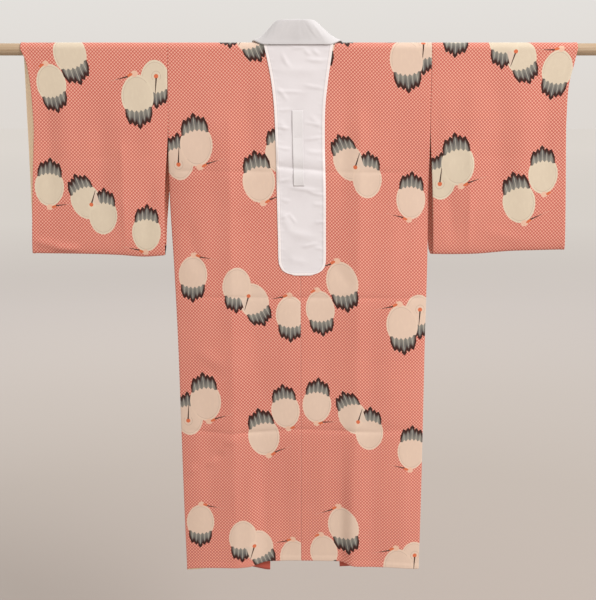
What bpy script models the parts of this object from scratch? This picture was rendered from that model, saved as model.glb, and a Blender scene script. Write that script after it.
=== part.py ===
"""Nagajuban (under-kimono robe) hanging on a wooden rod.

Metres, +Z up. The rod runs along X with its centre at the origin. The garment's
back faces -Y, its open front faces +Y. "left" nodes are at negative X.
"depth" is measured down from the rod's axis, along the hanging cloth.
"""
import math

import bmesh
import bpy
from mathutils import Matrix, Vector

# Cloth and seams
CLOTH = 0.0015
SEAM = 0.0003
BAND_THICK = 0.0030
COVER_THICK = 0.0010
TAPE_THICK = 0.0010

# Rod
ROD_R = 0.0138
ROD_LENGTH = 1.500
ROD_CHAMFER = 0.0015
ROD_SIDES = 48

# Cloth over the rod: middle of the wall
CREST_R = ROD_R + SEAM + CLOTH / 2
QUARTER = CREST_R * math.pi / 2
ARCH_STEPS = 10

# Body
HEM_GAP = 0.0110
GAP_FALL = 0.463
SIDE_GAP = CLOTH / 2 + SEAM / 2
SIDE_ROUND = 0.090
ARMHOLE_END = 0.205
SIDE_SEAM_TOP = 0.340
BODY_LENGTH = 1.280
BODY_ROWS = 19
BODY_COLUMNS = 11
NECK_COLUMNS = 3
COLUMN_CROWD = 1.35
# (depth, left side edge, centre-back seam, right side edge)
BODY_EDGES = (
    (0.000, -0.3036, 0.0020, 0.3059),
    (0.205, -0.3059, 0.0026, 0.3061),
    (0.323, -0.3070, 0.0030, 0.3072),
    (0.510, -0.2995, 0.0036, 0.3078),
    (0.690, -0.2941, 0.0042, 0.3064),
    (0.895, -0.2909, 0.0047, 0.3062),
    (1.105, -0.2875, 0.0051, 0.3056),
    (1.280, -0.2835, 0.0055, 0.3040),
)
# (x, depth of the back hem)
BACK_HEM = (
    (-0.300, 1.286),
    (-0.252, 1.277),
    (-0.130, 1.2725),
    (-0.078, 1.2630),
    (0.106, 1.2630),
    (0.140, 1.2700),
    (0.230, 1.2740),
    (0.301, 1.2820),
)
# (x, depth of the front hem)
FRONT_HEM = (
    (-0.300, 1.2850),
    (-0.127, 1.2910),
    (0.158, 1.2850),
    (0.305, 1.2800),
)
# The back falls in between the two fronts near its hem
HOLLOW_DEPTH = 0.014
HOLLOW_TOP = 0.850
HOLLOW_LEFT = (-0.128, -0.080)
HOLLOW_RIGHT = (0.104, 0.136)

# Neck: where the collar folds forward, and where the back stands up from the rod
FOLD_X = {-1: 0.072, 1: 0.063}
NECK_X = 0.084
NECK_RELAX = 0.024
NECK_ARCH_STEPS = 2
NECK_RISE = QUARTER * 2 * NECK_ARCH_STEPS / ARCH_STEPS
# (path from the crest, forward positive; neck edge beyond the collar's fold)
NECK_EDGE = (
    (-0.0093, 0.0150),
    (-0.0047, 0.0200),
    (0.0000, 0.0245),
    (0.0093, 0.0270),
    (0.0234, 0.0285),
)

# Collar band
COLLAR_WIDTH = 0.054
COLLAR_LAP = 0.010
COLLAR_ROOT = 0.0115
COLLAR_OUT = CLOTH / 2 + SEAM + BAND_THICK / 2
COLLAR_R = CREST_R + COLLAR_OUT
COLLAR_CLEAR = COLLAR_R + 0.0022
SEAM_EASE = 1.8
SEAM_SETTLE = 0.3
COLLAR_BACK_ROWS = 3
COLLAR_BEND_ROWS = 10
COLLAR_FRONT_ROWS = 15
COLLAR_WIDTHS = (0.0, 0.008, 0.018, 0.030, 0.054)
COLLAR_HOLD = 0.045
# How far the free edge leans out beside the neck
COLLAR_LEAN = {-1: 0.008, 1: 0.001}
# (depth, left seam edge, right seam edge), as distances from the centre line
COLLAR_EDGES = (
    (0.027, 0.1097, 0.1007),
    (0.100, 0.1098, 0.1030),
    (0.400, 0.1130, 0.1180),
    (0.900, 0.1220, 0.1420),
    (1.285, 0.1270, 0.1580),
)

# Collar cover
COVER_OUT = BAND_THICK / 2 + SEAM + COVER_THICK / 2
COVER_DEPTH = 0.420
COVER_ROWS = 6
COVER_OUTER = (0.0010, 0.0080, 0.0180, 0.0300, 0.0540)
COVER_INNER = (0.0540, 0.0300)
COVER_TURN_STEPS = 4

# Neck-pull strip on the back: (depth, left edge, right edge)
STRIP_OUT = CLOTH + SEAM
STRIP_COLUMNS = 6
STRIP_EDGES = (
    (-0.0105, -0.0815, 0.0785),
    (0.030, -0.0722, 0.0728),
    (0.075, -0.0640, 0.0666),
    (0.130, -0.0582, 0.0612),
    (0.195, -0.0553, 0.0603),
    (0.260, -0.0533, 0.0615),
    (0.325, -0.0523, 0.0632),
    (0.440, -0.0499, 0.0640),
    (0.496, -0.0482, 0.0636),
    (0.511, -0.0420, 0.0585),
    (0.520, -0.0320, 0.0480),
    (0.527, -0.0090, 0.0270),
)
STRIP_ROWS = (
    -0.0105, -0.0047, 0.0, 0.030, 0.075, 0.130, 0.195, 0.260,
    0.325, 0.383, 0.440, 0.470, 0.490, 0.502, 0.511, 0.520, 0.527,
)

# Loop tape on the strip: (stitch line depth, left edge, right edge, rise of the loop below it)
TAPE_OUT = STRIP_OUT + CLOTH / 2 + SEAM + TAPE_THICK / 2
TAPE_STITCHES = (
    (0.138, -0.0163, 0.0092, 0.0020),
    (0.200, -0.0155, 0.0098, 0.0020),
    (0.274, -0.0133, 0.0116, 0.0016),
    (0.314, -0.0128, 0.0120, 0.0),
)
TAPE_STEPS = 6
TAPE_COLUMNS = 3

# Sleeves
SLEEVE_DROP = 0.474
SLEEVE_CURVE = 0.0025
SLEEVE_COLUMNS = 8
SLEEVE_ROWS = 9
SLEEVE_FOOT = (0.10, 0.28, 0.9, 1.5, 2.1, 2.7, 3.2)
# (depth, seam edge, back wrist edge, front wrist edge)
SLEEVE_EDGES = {
    -1: (
        (0.000, -0.3036, -0.6410, -0.6410),
        (0.030, -0.3040, -0.6290, -0.6410),
        (0.085, -0.3047, -0.6215, -0.6405),
        (0.170, -0.3056, -0.6185, -0.6400),
        (0.205, -0.3072, -0.6200, -0.6395),
        (0.330, -0.3172, -0.6290, -0.6390),
        (0.474, -0.3205, -0.6375, -0.6385),
    ),
    1: (
        (0.000, 0.3059, 0.6410, 0.6410),
        (0.030, 0.3059, 0.6350, 0.6330),
        (0.085, 0.3060, 0.6240, 0.6240),
        (0.170, 0.3061, 0.6225, 0.6220),
        (0.205, 0.3075, 0.6235, 0.6225),
        (0.330, 0.3155, 0.6290, 0.6280),
        (0.474, 0.3205, 0.6350, 0.6350),
    ),
}
# (distance from the centre line, left sleeve drop, right sleeve drop)
SLEEVE_BOTTOM = (
    (0.310, 0.4785, 0.4760),
    (0.370, 0.4825, 0.4765),
    (0.430, 0.4785, 0.4750),
    (0.500, 0.4760, 0.4690),
    (0.560, 0.4750, 0.4670),
    (0.640, 0.4740, 0.4650),
)

# Pressed storage folds: (wall, x above, x below, top, bottom, rise, half width)
FOLDS = (
    ("back", -0.1640, -0.1580, 0.150, 1.285, 0.0030, 0.030),
    ("back", 0.1430, 0.1385, 0.120, 1.285, 0.0030, 0.028),
    ("front", -0.2050, -0.2000, 0.200, 1.285, 0.0025, 0.032),
    ("front", 0.2280, 0.2240, 0.160, 1.285, 0.0025, 0.030),
    ("back", -0.4150, -0.4130, 0.100, 0.430, 0.0025, 0.030),
    ("back", 0.4020, 0.4040, 0.030, 0.430, 0.0025, 0.030),
    ("front", -0.4900, -0.4880, 0.060, 0.430, 0.0025, 0.034),
    ("front", 0.5100, 0.5060, 0.090, 0.430, 0.0025, 0.032),
)
FOLD_EASE = 0.080

# Looks: colour and roughness
CLOTH_RED = ((0.68, 0.28, 0.20, 1.0), 0.75)
CLOTH_WHITE = ((0.82, 0.78, 0.77, 1.0), 0.80)
WOOD = ((0.62, 0.46, 0.31, 1.0), 0.45)
SHARP_ANGLE = math.radians(40.0)


def smooth(low, high, at):
    """0 below low, 1 above high, eased between."""
    part = min(max((at - low) / (high - low), 0.0), 1.0)
    return part * part * (3.0 - 2.0 * part)


def mix(first, second, part):
    return first + (second - first) * part


def along(table, at, column):
    """Smooth curve through one column of a table, held at its ends."""
    if at <= table[0][0]:
        return table[0][column]
    if at >= table[-1][0]:
        return table[-1][column]
    row = 0
    while at > table[row + 1][0]:
        row += 1

    def slope(index):
        low = max(index - 1, 0)
        high = min(index + 1, len(table) - 1)
        return (table[high][column] - table[low][column]) / (table[high][0] - table[low][0])

    start, end = table[row], table[row + 1]
    span = end[0] - start[0]
    part = (at - start[0]) / span
    squared = part * part
    cubed = squared * part
    return (
        (2 * cubed - 3 * squared + 1) * start[column]
        + (cubed - 2 * squared + part) * span * slope(row)
        + (3 * squared - 2 * cubed) * end[column]
        + (cubed - squared) * span * slope(row + 1)
    )


def fold_rise(wall, x, depth):
    """How far the pressed folds lift a wall away from the hollow."""
    rise = 0.0
    for name, x_above, x_below, top, bottom, height, half_width in FOLDS:
        if name != wall:
            continue
        part = min(max((depth - top) / (bottom - top), 0.0), 1.0)
        away = (x - mix(x_above, x_below, part)) / half_width
        fade = smooth(top, top + FOLD_EASE, depth)
        if bottom < BODY_LENGTH:
            fade *= 1.0 - smooth(bottom - FOLD_EASE, bottom, depth)
        rise += height * fade * math.exp(-away * away)
    return rise


def body_gap(depth):
    """Half the distance between the middles of the back and front walls."""
    return HEM_GAP + (CREST_R - HEM_GAP) * math.exp(-max(depth, 0.0) / GAP_FALL)


def hang(wall, x, depth):
    """Y of the body's back or front wall below the rod."""
    edge = along(BODY_EDGES, depth, 1 if x < 0 else 3)
    closed = smooth(ARMHOLE_END, SIDE_SEAM_TOP, depth)
    full = body_gap(depth)
    at_edge = mix(full, SIDE_GAP, closed)
    inward = min(max((abs(edge) - abs(x)) / SIDE_ROUND, 0.0), 1.0)
    gap = mix(at_edge, full, 1.0 - (1.0 - inward) ** 2)
    gap += fold_rise(wall, x, depth) * smooth(0.0, 1.0, inward)
    if wall == "front":
        return gap
    inside = smooth(HOLLOW_LEFT[0], HOLLOW_LEFT[1], x) * (1.0 - smooth(HOLLOW_RIGHT[0], HOLLOW_RIGHT[1], x))
    return -gap + HOLLOW_DEPTH * inside * smooth(HOLLOW_TOP, BODY_LENGTH, depth)


def upright(x):
    """1 where the back rises straight to the collar, 0 where it wraps the rod."""
    return 1.0 - min(max((abs(x) - NECK_X) / NECK_RELAX, 0.0), 1.0)


def over_rod(x, path, lift):
    """Point of the body cloth near the rod; path is 0 at the crest, forward positive."""
    rise = QUARTER - abs(path)
    y = math.copysign(CREST_R * math.cos(rise / CREST_R), path)
    z = CREST_R * math.sin(rise / CREST_R)
    return Vector((x, mix(y, -CREST_R, lift), mix(z, rise, lift)))


def body_point(x, path):
    """Point of the body cloth's middle, by x and path from the crest."""
    if abs(path) <= QUARTER:
        return over_rod(x, path, upright(x) if path < 0.0 else 0.0)
    depth = abs(path) - QUARTER
    wall = "back" if path < 0.0 else "front"
    return Vector((x, hang(wall, x, depth), -depth))


def moved_out(x, path, out, sample=0.002):
    """Point of the body cloth moved away from the hollow, square to the cloth."""
    across = body_point(x + sample, path) - body_point(x - sample, path)
    up = body_point(x, path + sample) - body_point(x, path - sample)
    return body_point(x, path) + across.cross(up).normalized() * out


def sheet(name, points, thickness, look, keep=None):
    """Cloth of even thickness from a grid of points (rows of columns)."""
    mesh = bpy.data.meshes.new(name)
    shape = bmesh.new()
    grid = [[shape.verts.new(point) for point in row] for row in points]
    for row in range(len(grid) - 1):
        for column in range(len(grid[row]) - 1):
            if keep is None or keep(row, column):
                shape.faces.new((
                    grid[row][column],
                    grid[row][column + 1],
                    grid[row + 1][column + 1],
                    grid[row + 1][column],
                ))
    loose = [vert for vert in shape.verts if not vert.link_faces]
    bmesh.ops.delete(shape, geom=loose, context="VERTS")
    shape.to_mesh(mesh)
    shape.free()
    piece = add(name, mesh, look)
    wall = piece.modifiers.new("cloth", "SOLIDIFY")
    wall.thickness = thickness
    wall.offset = 0.0
    return piece


def add(name, mesh, look):
    """Object with its own material, in the part's collection."""
    color, roughness = look
    surface = bpy.data.materials.new(name)
    surface.use_nodes = True
    shader = surface.node_tree.nodes["Principled BSDF"]
    shader.inputs["Base Color"].default_value = color
    shader.inputs["Roughness"].default_value = roughness
    shader.inputs["Metallic"].default_value = 0.0
    surface.diffuse_color = color
    mesh.shade_smooth()
    mesh.set_sharp_from_angle(angle=SHARP_ANGLE)
    mesh.materials.append(surface)
    piece = bpy.data.objects.new(name, mesh)
    part_collection.objects.link(piece)
    return piece


def body_panel(side):
    """One body panel: back hem, over the rod, front hem, with the neck cut out."""
    edge_column = 1 if side < 0 else 3
    fold = FOLD_X[side]
    arch = [-QUARTER + 2 * QUARTER * step / ARCH_STEPS for step in range(1, ARCH_STEPS)]
    neck_row = BODY_ROWS + NECK_ARCH_STEPS
    steps = BODY_COLUMNS - 1
    shares = [1.0 - (1.0 - step / steps) ** COLUMN_CROWD for step in range(steps + 1)]

    def row_of_points(wall, drop, path):
        """Columns from the centre seam (or neck or front edge) to the side edge."""
        level = 0.0 if drop is None else drop * BODY_LENGTH
        wraps = path is not None and path > NECK_RISE - QUARTER + SEAM
        centre = along(BODY_EDGES, level, 2) + side * SEAM / 2
        side_edge = along(BODY_EDGES, level, edge_column) - side * SEAM / 2
        if drop is not None and wall == "front":
            inner = side * (along(COLLAR_EDGES, level, 1 if side < 0 else 2) - COLLAR_LAP)
        elif wraps:
            inner = side * (fold + along(NECK_EDGE, path, 1))
        else:
            inner = side * NECK_X
        relaxed = inner + side * NECK_RELAX
        xs = [mix(centre, inner, step / NECK_COLUMNS) for step in range(NECK_COLUMNS)]
        xs += [inner] + [mix(relaxed, side_edge, share) for share in shares]
        points = []
        for x in xs:
            if drop is None:
                points.append(over_rod(x, path, 0.0 if wraps else upright(x)))
                continue
            hem = along(BACK_HEM if wall == "back" else FRONT_HEM, x, 1)
            depth = drop * hem
            points.append(Vector((x, hang(wall, x, depth), -depth)))
        return points

    drops = [1.0 - step / BODY_ROWS for step in range(BODY_ROWS + 1)]
    rows = [row_of_points("back", drop, None) for drop in drops]
    rows += [row_of_points("arch", None, path) for path in arch]
    rows += [row_of_points("front", drop, None) for drop in reversed(drops)]
    if side > 0:
        rows = [list(reversed(row)) for row in rows]
        last = BODY_COLUMNS - 1
        keep = lambda row, column: row < neck_row or column <= last
    else:
        keep = lambda row, column: row < neck_row or column >= NECK_COLUMNS
    return rows, keep


def sleeve(side):
    """One sleeve: bottom seam, up the back, over the rod, down the front."""
    edges = SLEEVE_EDGES[side]
    drop_column = 1 if side < 0 else 2
    reach = math.acosh(1.0 + SLEEVE_DROP / SLEEVE_CURVE)
    scale = CREST_R / (SLEEVE_CURVE * reach)
    foot = [(SLEEVE_CURVE * (math.cosh(turn) - 1.0), SLEEVE_CURVE * turn) for turn in SLEEVE_FOOT]
    start = foot[-1][0]
    for step in range(1, SLEEVE_ROWS + 1):
        height = mix(start, SLEEVE_DROP, step / SLEEVE_ROWS)
        foot.append((height, SLEEVE_CURVE * math.acosh(1.0 + height / SLEEVE_CURVE)))
    arch = [-QUARTER + 2 * QUARTER * step / ARCH_STEPS for step in range(1, ARCH_STEPS)]

    def row_of_points(wall, height, gap, path):
        depth = 0.0 if height is None else SLEEVE_DROP - height
        seam = along(edges, depth, 1) + side * SEAM / 2
        wrist = along(edges, depth, 3 if wall == "front" else 2)
        points = []
        for step in range(SLEEVE_COLUMNS + 1):
            x = mix(seam, wrist, step / SLEEVE_COLUMNS)
            if height is None:
                y = math.sin(path / CREST_R) * CREST_R
                points.append(Vector((x, y, math.cos(path / CREST_R) * CREST_R)))
                continue
            bottom = along(SLEEVE_BOTTOM, abs(x), drop_column)
            out = gap * mix(1.0, scale, smooth(0.0, SLEEVE_DROP, height))
            out += fold_rise(wall, x, depth)
            points.append(Vector((x, -out if wall == "back" else out, -depth * bottom / SLEEVE_DROP)))
        return points

    rows = [row_of_points("back", height, gap, None) for height, gap in foot]
    rows += [row_of_points("arch", None, None, path) for path in arch]
    rows += [row_of_points("front", height, gap, None) for height, gap in reversed(foot)]
    return rows if side < 0 else [list(reversed(row)) for row in rows]


def band_raw(fold, turned, width):
    """Straight band rolled forward over a slanting fold: x, y, z on the right side."""
    bulge = COLLAR_R * math.sin(turned / COLLAR_R)
    x = fold - width + (turned + bulge) / math.sqrt(2.0)
    z = COLLAR_ROOT + width + (bulge - turned) / math.sqrt(2.0)
    return Vector((x, -COLLAR_R * math.cos(turned / COLLAR_R), z))


def seam_round_rod(part, end_z):
    """Y and Z of the collar's seam edge, led round the cloth on the rod."""
    start = math.atan2(COLLAR_R, COLLAR_ROOT)
    arc = COLLAR_CLEAR * (start + math.pi / 2)
    gone = (arc - end_z) * part ** SEAM_EASE
    if gone > arc:
        depth = gone - arc
        extra = (COLLAR_CLEAR - COLLAR_R) * (1.0 + depth / end_z)
        return body_gap(depth) + COLLAR_OUT + extra, -depth
    angle = gone / COLLAR_CLEAR - start
    radius = mix(math.hypot(COLLAR_R, COLLAR_ROOT), COLLAR_CLEAR, smooth(0.0, SEAM_SETTLE, part))
    return radius * math.sin(angle), radius * math.cos(angle)


def collar_lean(side, stage, width):
    """Sideways lean of the standing collar, most at its free edge beside the neck."""
    beside = smooth(0.0, 1.1, stage) * (1.0 - smooth(1.2, 2.08, stage))
    return side * COLLAR_LEAN[side] * beside * smooth(0.010, COLLAR_WIDTH, width)


def collar_point(side, stage, width):
    """Middle of the collar band. stage 0-1 back, 1-2 fold at the neck, 2-3 front."""
    fold = FOLD_X[side]
    lean = collar_lean(side, stage, width)
    half_turn = COLLAR_R * math.pi
    top = COLLAR_ROOT - half_turn / math.sqrt(2.0)
    if stage <= 1.0:
        return Vector((side * stage * (fold - width) + lean, -COLLAR_R, COLLAR_ROOT + width))
    if stage <= 2.0:
        point = band_raw(fold, (stage - 1.0) * half_turn, width)
        seam = band_raw(fold, (stage - 1.0) * half_turn, 0.0)
        y, z = seam_round_rod(stage - 1.0, top)
        hold = max(1.0 - width / COLLAR_HOLD, 0.0) ** 2
        return Vector((side * point.x + lean, point.y + (y - seam.y) * hold, point.z + (z - seam.z) * hold))
    end = -along(FRONT_HEM, side * (COLLAR_EDGES[-1][1 if side < 0 else 2] - width), 1)
    z = mix(top + width, end, stage - 2.0)
    edge = along(COLLAR_EDGES, -z, 1 if side < 0 else 2)
    lap = side * max(edge - width, edge - COLLAR_LAP)
    return Vector((side * (edge - width) + lean, hang("front", lap, max(-z, 0.0)) + COLLAR_OUT, z))


def collar_frame(side, stage, width, sample=0.002):
    """Point, outward normal and direction of the free edge on the collar."""
    low = min(max(width - sample, 0.0), COLLAR_WIDTH - 2 * sample)
    across = collar_point(side, stage, low + 2 * sample) - collar_point(side, stage, low)
    forward = collar_point(side, min(stage + sample, 3.0), width)
    forward -= collar_point(side, max(stage - sample, 0.0), width)
    normal = across.cross(forward).normalized() * -side
    return collar_point(side, stage, width), normal, across.normalized()


def collar_stages(last_stage, front_rows):
    """Row positions from the centre back to the end of a band."""
    stages = [step / COLLAR_BACK_ROWS for step in range(COLLAR_BACK_ROWS)]
    stages += [1.0 + step / COLLAR_BEND_ROWS for step in range(COLLAR_BEND_ROWS)]
    stages += [2.0 + (last_stage - 2.0) * step / front_rows for step in range(front_rows + 1)]
    return stages


def both_ways(stages):
    """Left end to centre back to right end, as (side, stage)."""
    return [(-1, stage) for stage in reversed(stages[1:])] + [(1, stage) for stage in stages]


def collar(side):
    """Half of the collar band, from the seam at the centre back to the front hem."""
    stages = collar_stages(3.0, COLLAR_FRONT_ROWS)
    rows = [[collar_point(side, stage, width) for width in COLLAR_WIDTHS] for stage in stages]
    for point in rows[0]:
        point.x = side * SEAM / 2
    return rows if side > 0 else rows[::-1]


def collar_cover():
    """White cloth folded over the collar's free edge."""
    last = 2.0 + COVER_DEPTH / BODY_LENGTH
    rows = []
    for side, stage in both_ways(collar_stages(last, COVER_ROWS)):
        points = []
        for width in COVER_OUTER:
            point, normal, across = collar_frame(side, stage, width)
            points.append(point + normal * COVER_OUT)
        point, normal, across = collar_frame(side, stage, COLLAR_WIDTH)
        for step in range(1, COVER_TURN_STEPS):
            turn = math.pi * step / COVER_TURN_STEPS
            points.append(point + (normal * math.cos(turn) + across * math.sin(turn)) * COVER_OUT)
        for width in COVER_INNER:
            point, normal, across = collar_frame(side, stage, width)
            points.append(point - normal * COVER_OUT)
        rows.append(points)
    return rows


def strip():
    """White strip that hangs from the collar seam on the back."""
    rows = []
    for depth in STRIP_ROWS:
        left = along(STRIP_EDGES, depth, 1)
        right = along(STRIP_EDGES, depth, 2)
        path = -QUARTER - depth
        rows.append([
            moved_out(mix(left, right, step / STRIP_COLUMNS), path, STRIP_OUT)
            for step in range(STRIP_COLUMNS + 1)
        ])
    return rows


def tape():
    """White tape stitched across the strip so that it stands out in loops."""
    rows = []
    for upper, lower in zip(TAPE_STITCHES, TAPE_STITCHES[1:]):
        steps = TAPE_STEPS + 1 if lower is TAPE_STITCHES[-1] else TAPE_STEPS
        for step in range(steps):
            part = step / TAPE_STEPS
            depth = mix(upper[0], lower[0], part)
            left = mix(upper[1], lower[1], part)
            right = mix(upper[2], lower[2], part)
            out = TAPE_OUT + upper[3] * math.sin(math.pi * part)
            rows.append([
                moved_out(mix(left, right, column / TAPE_COLUMNS), -QUARTER - depth, out)
                for column in range(TAPE_COLUMNS + 1)
            ])
    return rows


def rod():
    """Plain wooden rod along X."""
    mesh = bpy.data.meshes.new("rod")
    shape = bmesh.new()
    bmesh.ops.create_cone(
        shape,
        cap_ends=True,
        segments=ROD_SIDES,
        radius1=ROD_R,
        radius2=ROD_R,
        depth=ROD_LENGTH,
    )
    bmesh.ops.rotate(shape, verts=shape.verts, matrix=Matrix.Rotation(math.pi / 2, 3, "Y"))
    rims = [edge for edge in shape.edges if edge.calc_length() < ROD_R]
    bmesh.ops.bevel(shape, geom=rims, offset=ROD_CHAMFER, segments=1, affect="EDGES")
    shape.to_mesh(mesh)
    shape.free()
    return add("rod", mesh, WOOD)


for old in list(bpy.data.objects):
    bpy.data.objects.remove(old, do_unlink=True)
part_collection = bpy.data.collections.new("nagajuban")
bpy.context.scene.collection.children.link(part_collection)

rod()
for side, word in ((-1, "left"), (1, "right")):
    panel_rows, panel_keep = body_panel(side)
    sheet("body_" + word, panel_rows, CLOTH, CLOTH_RED, panel_keep)
    sheet("sleeve_" + word, sleeve(side), CLOTH, CLOTH_RED)
    sheet("collar_" + word, collar(side), BAND_THICK, CLOTH_RED)
sheet("collar_cover", collar_cover(), COVER_THICK, CLOTH_WHITE)
sheet("neck_strip", strip(), CLOTH, CLOTH_WHITE)
sheet("loop_tape", tape(), TAPE_THICK, CLOTH_WHITE)
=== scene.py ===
"""Cloth, print and light of the nagajuban on its rod.

Metres, +Z up, in the part's own frame: the rod's axis is at the origin, the
garment's back faces -Y. "depth" is measured down from the rod's axis, "path"
along the cloth from the crest over the rod, forward positive. A side is -1 for
left and 1 for right. Tables inside mm() are in millimetres.
"""

import math
from functools import partialmethod, reduce

import bpy
import numpy as np
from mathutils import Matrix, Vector


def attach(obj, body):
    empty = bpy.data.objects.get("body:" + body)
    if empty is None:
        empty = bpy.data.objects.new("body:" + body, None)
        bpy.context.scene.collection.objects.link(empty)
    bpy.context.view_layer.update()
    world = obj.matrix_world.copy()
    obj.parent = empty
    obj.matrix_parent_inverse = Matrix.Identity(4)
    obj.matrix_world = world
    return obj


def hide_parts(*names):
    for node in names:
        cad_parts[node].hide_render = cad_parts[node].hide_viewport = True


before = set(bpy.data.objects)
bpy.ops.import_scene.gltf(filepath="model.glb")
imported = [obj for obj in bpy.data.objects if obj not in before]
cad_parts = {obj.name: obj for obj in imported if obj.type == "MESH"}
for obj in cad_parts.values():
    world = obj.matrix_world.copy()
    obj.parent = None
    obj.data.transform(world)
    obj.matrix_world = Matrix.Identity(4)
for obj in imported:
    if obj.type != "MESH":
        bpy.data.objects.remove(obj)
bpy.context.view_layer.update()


def mm(*rows):
    """Table of lengths given in millimetres, as metres."""
    return np.array(rows) / 1000.0


# Walls of the part's solids that the cloth follows
SOLID_WALL = 0.0015
SEAM = 0.0003
ROD_R = 0.0138
CREST_R = ROD_R + SEAM + SOLID_WALL / 2
QUARTER = CREST_R * math.pi / 2

# Real thickness of each cloth, and its middle outside the middle of its solid
PRINT_CLOTH = 0.0008
PRINT_OUT = 0.00035
STRIP_CLOTH = 0.0006
STRIP_OUT = 0.00135
COVER_CLOTH = 0.0006
TAPE_CLOTH = 0.0005
BAND_THICK = 0.0030

# Mesh steps
ACROSS = 0.0045
DOWN = 0.0060
STRIP_STEP = 0.0030
TAPE_STEP = 0.003
EDGE_STEPS = (0.0015, 0.0030, 0.0055)
HEM_STEPS = (0.0015, 0.0035, 0.0070, 0.0100, 0.0125)
WRIST_STEPS = (0.0015, 0.0035, 0.0070, 0.0100)
STRIP_SIDE_STEPS = (0.0008, 0.0030, 0.0058, 0.0072)
STRIP_END_STEPS = (0.0006, 0.0014, 0.0026, 0.0044, 0.0068)
LINE_STEPS = np.arange(-0.0120, 0.0121, 0.0030)
LINE_CLEAR = 0.0021
ARCH_STEPS = 20
ARCH = -QUARTER + 2 * QUARTER * np.arange(1, ARCH_STEPS) / ARCH_STEPS

# Body
HEM_GAP = 0.0110
GAP_FALL = 0.463
SIDE_GAP = SOLID_WALL / 2 + SEAM / 2
SIDE_ROUND = 0.090
ARMHOLE_END = 0.205
SIDE_SEAM_TOP = 0.340
BODY_LENGTH = 1.280
PANEL_SPAN = 0.21
COLUMN_CROWD = 1.35
BODY_HEM = 0.012
# (depth, left side edge, centre-back seam, right side edge)
BODY_EDGES = mm(
    (0, -303.6, 2, 305.9), (205, -305.9, 2.6, 306.1), (323, -307, 3, 307.2),
    (510, -299.5, 3.6, 307.8), (690, -294.1, 4.2, 306.4), (895, -290.9, 4.7, 306.2),
    (1105, -287.5, 5.1, 305.6), (1280, -283.5, 5.5, 304),
)
# (x, depth of the back hem)
BACK_HEM = mm(
    (-300, 1286), (-252, 1277), (-130, 1272.5), (-78, 1263), (106, 1263), (140, 1270), (230, 1274),
    (301, 1282),
)
# (x, depth of the front hem)
FRONT_HEM = mm(
    (-300, 1285), (-127, 1291), (158, 1285), (305, 1280),
)
# (x, how much shorter the cloth of the front hem is than the solid)
HEM_TRIM = mm(
    (-260, 0), (-190, 6), (-127, 9.5), (-73, 0), (90, 4), (160, 5), (260, 0),
)
HOLLOW_DEPTH = 0.014
HOLLOW_TOP = 0.850
HOLLOW_X = (-0.128, -0.080, 0.104, 0.136)

# Neck
FOLD_X = {-1: 0.072, 1: 0.063}
NECK_X = 0.084
NECK_RELAX = 0.024
NECK_RISE = QUARTER * 0.4
NECK_TURN = QUARTER * 0.2
NECK_OPEN_ROW = round(ARCH_STEPS * 0.2)
# (path, neck edge beyond the collar's fold)
NECK_EDGE = mm(
    (-9.3, 15), (-4.7, 20), (0, 24.5), (9.3, 27), (23.4, 28.5),
)

# Collar band and its white cover
COLLAR_WIDTH = 0.054
COLLAR_LAP = 0.010
COLLAR_ROOT = 0.0115
COLLAR_OUT = SOLID_WALL / 2 + SEAM + BAND_THICK / 2
COLLAR_R = CREST_R + COLLAR_OUT
COLLAR_CLEAR = COLLAR_R + 0.0022
SEAM_EASE = 1.8
SEAM_SETTLE = 0.3
COLLAR_HOLD = 0.045
COLLAR_LEAN = {-1: 0.008, 1: 0.001}
# (depth, left seam edge, right seam edge), as distances from the centre line
COLLAR_EDGES = mm(
    (27, 109.7, 100.7), (100, 109.8, 103), (400, 113, 118), (900, 122, 142), (1285, 127, 158),
)
COVER_OUT = BAND_THICK / 2 + SEAM + COVER_CLOTH / 2
COVER_DEPTH = 0.420
COVER_INSIDE = 0.0300
COVER_CORNER = 0.0015
COVER_UNDER = 0.0030

# Neck-pull strip: (depth, left edge, right edge)
STRIP_EDGES = mm(
    (-10.5, -81.5, 78.5), (30, -72.2, 72.8), (75, -64, 66.6), (130, -58.2, 61.2),
    (195, -55.3, 60.3), (260, -53.3, 61.5), (325, -52.3, 63.2), (440, -49.9, 64),
    (496, -48.2, 63.6), (511, -42, 58.5), (520, -32, 48), (527, -9, 27),
)
STRIP_TOP, STRIP_BOTTOM = STRIP_EDGES[0, 0], STRIP_EDGES[-1, 0]
STRIP_BINDING = 0.0065
BINDING_RISE = 0.0006
PUCKER_PITCH = 0.0110
PUCKER_RISE = 0.0007
# (stitch line depth, left edge, right edge, rise of the loop below it)
TAPE_STITCHES = mm(
    (138, -16.3, 9.2, 0.8), (200, -15.5, 9.8, 1), (274, -13.3, 11.6, 0.7), (314, -12.8, 12, 0),
)
TAPE_OUT = STRIP_OUT + STRIP_CLOTH / 2 + SEAM + TAPE_CLOTH / 2
TAPE_CURL = 0.00025
TAPE_PRESS = 0.0002

# Sleeves
SLEEVE_DROP = 0.474
SLEEVE_CURVE = 0.0025
SLEEVE_WIDTH = 0.325
SLEEVE_FOOT = (0.10, 0.28, 0.6, 0.9, 1.2, 1.5, 1.8, 2.1, 2.4, 2.7, 2.95, 3.2)
WRIST_HEM = 0.0095
OPEN_SIDE_HEM = 0.016
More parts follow.
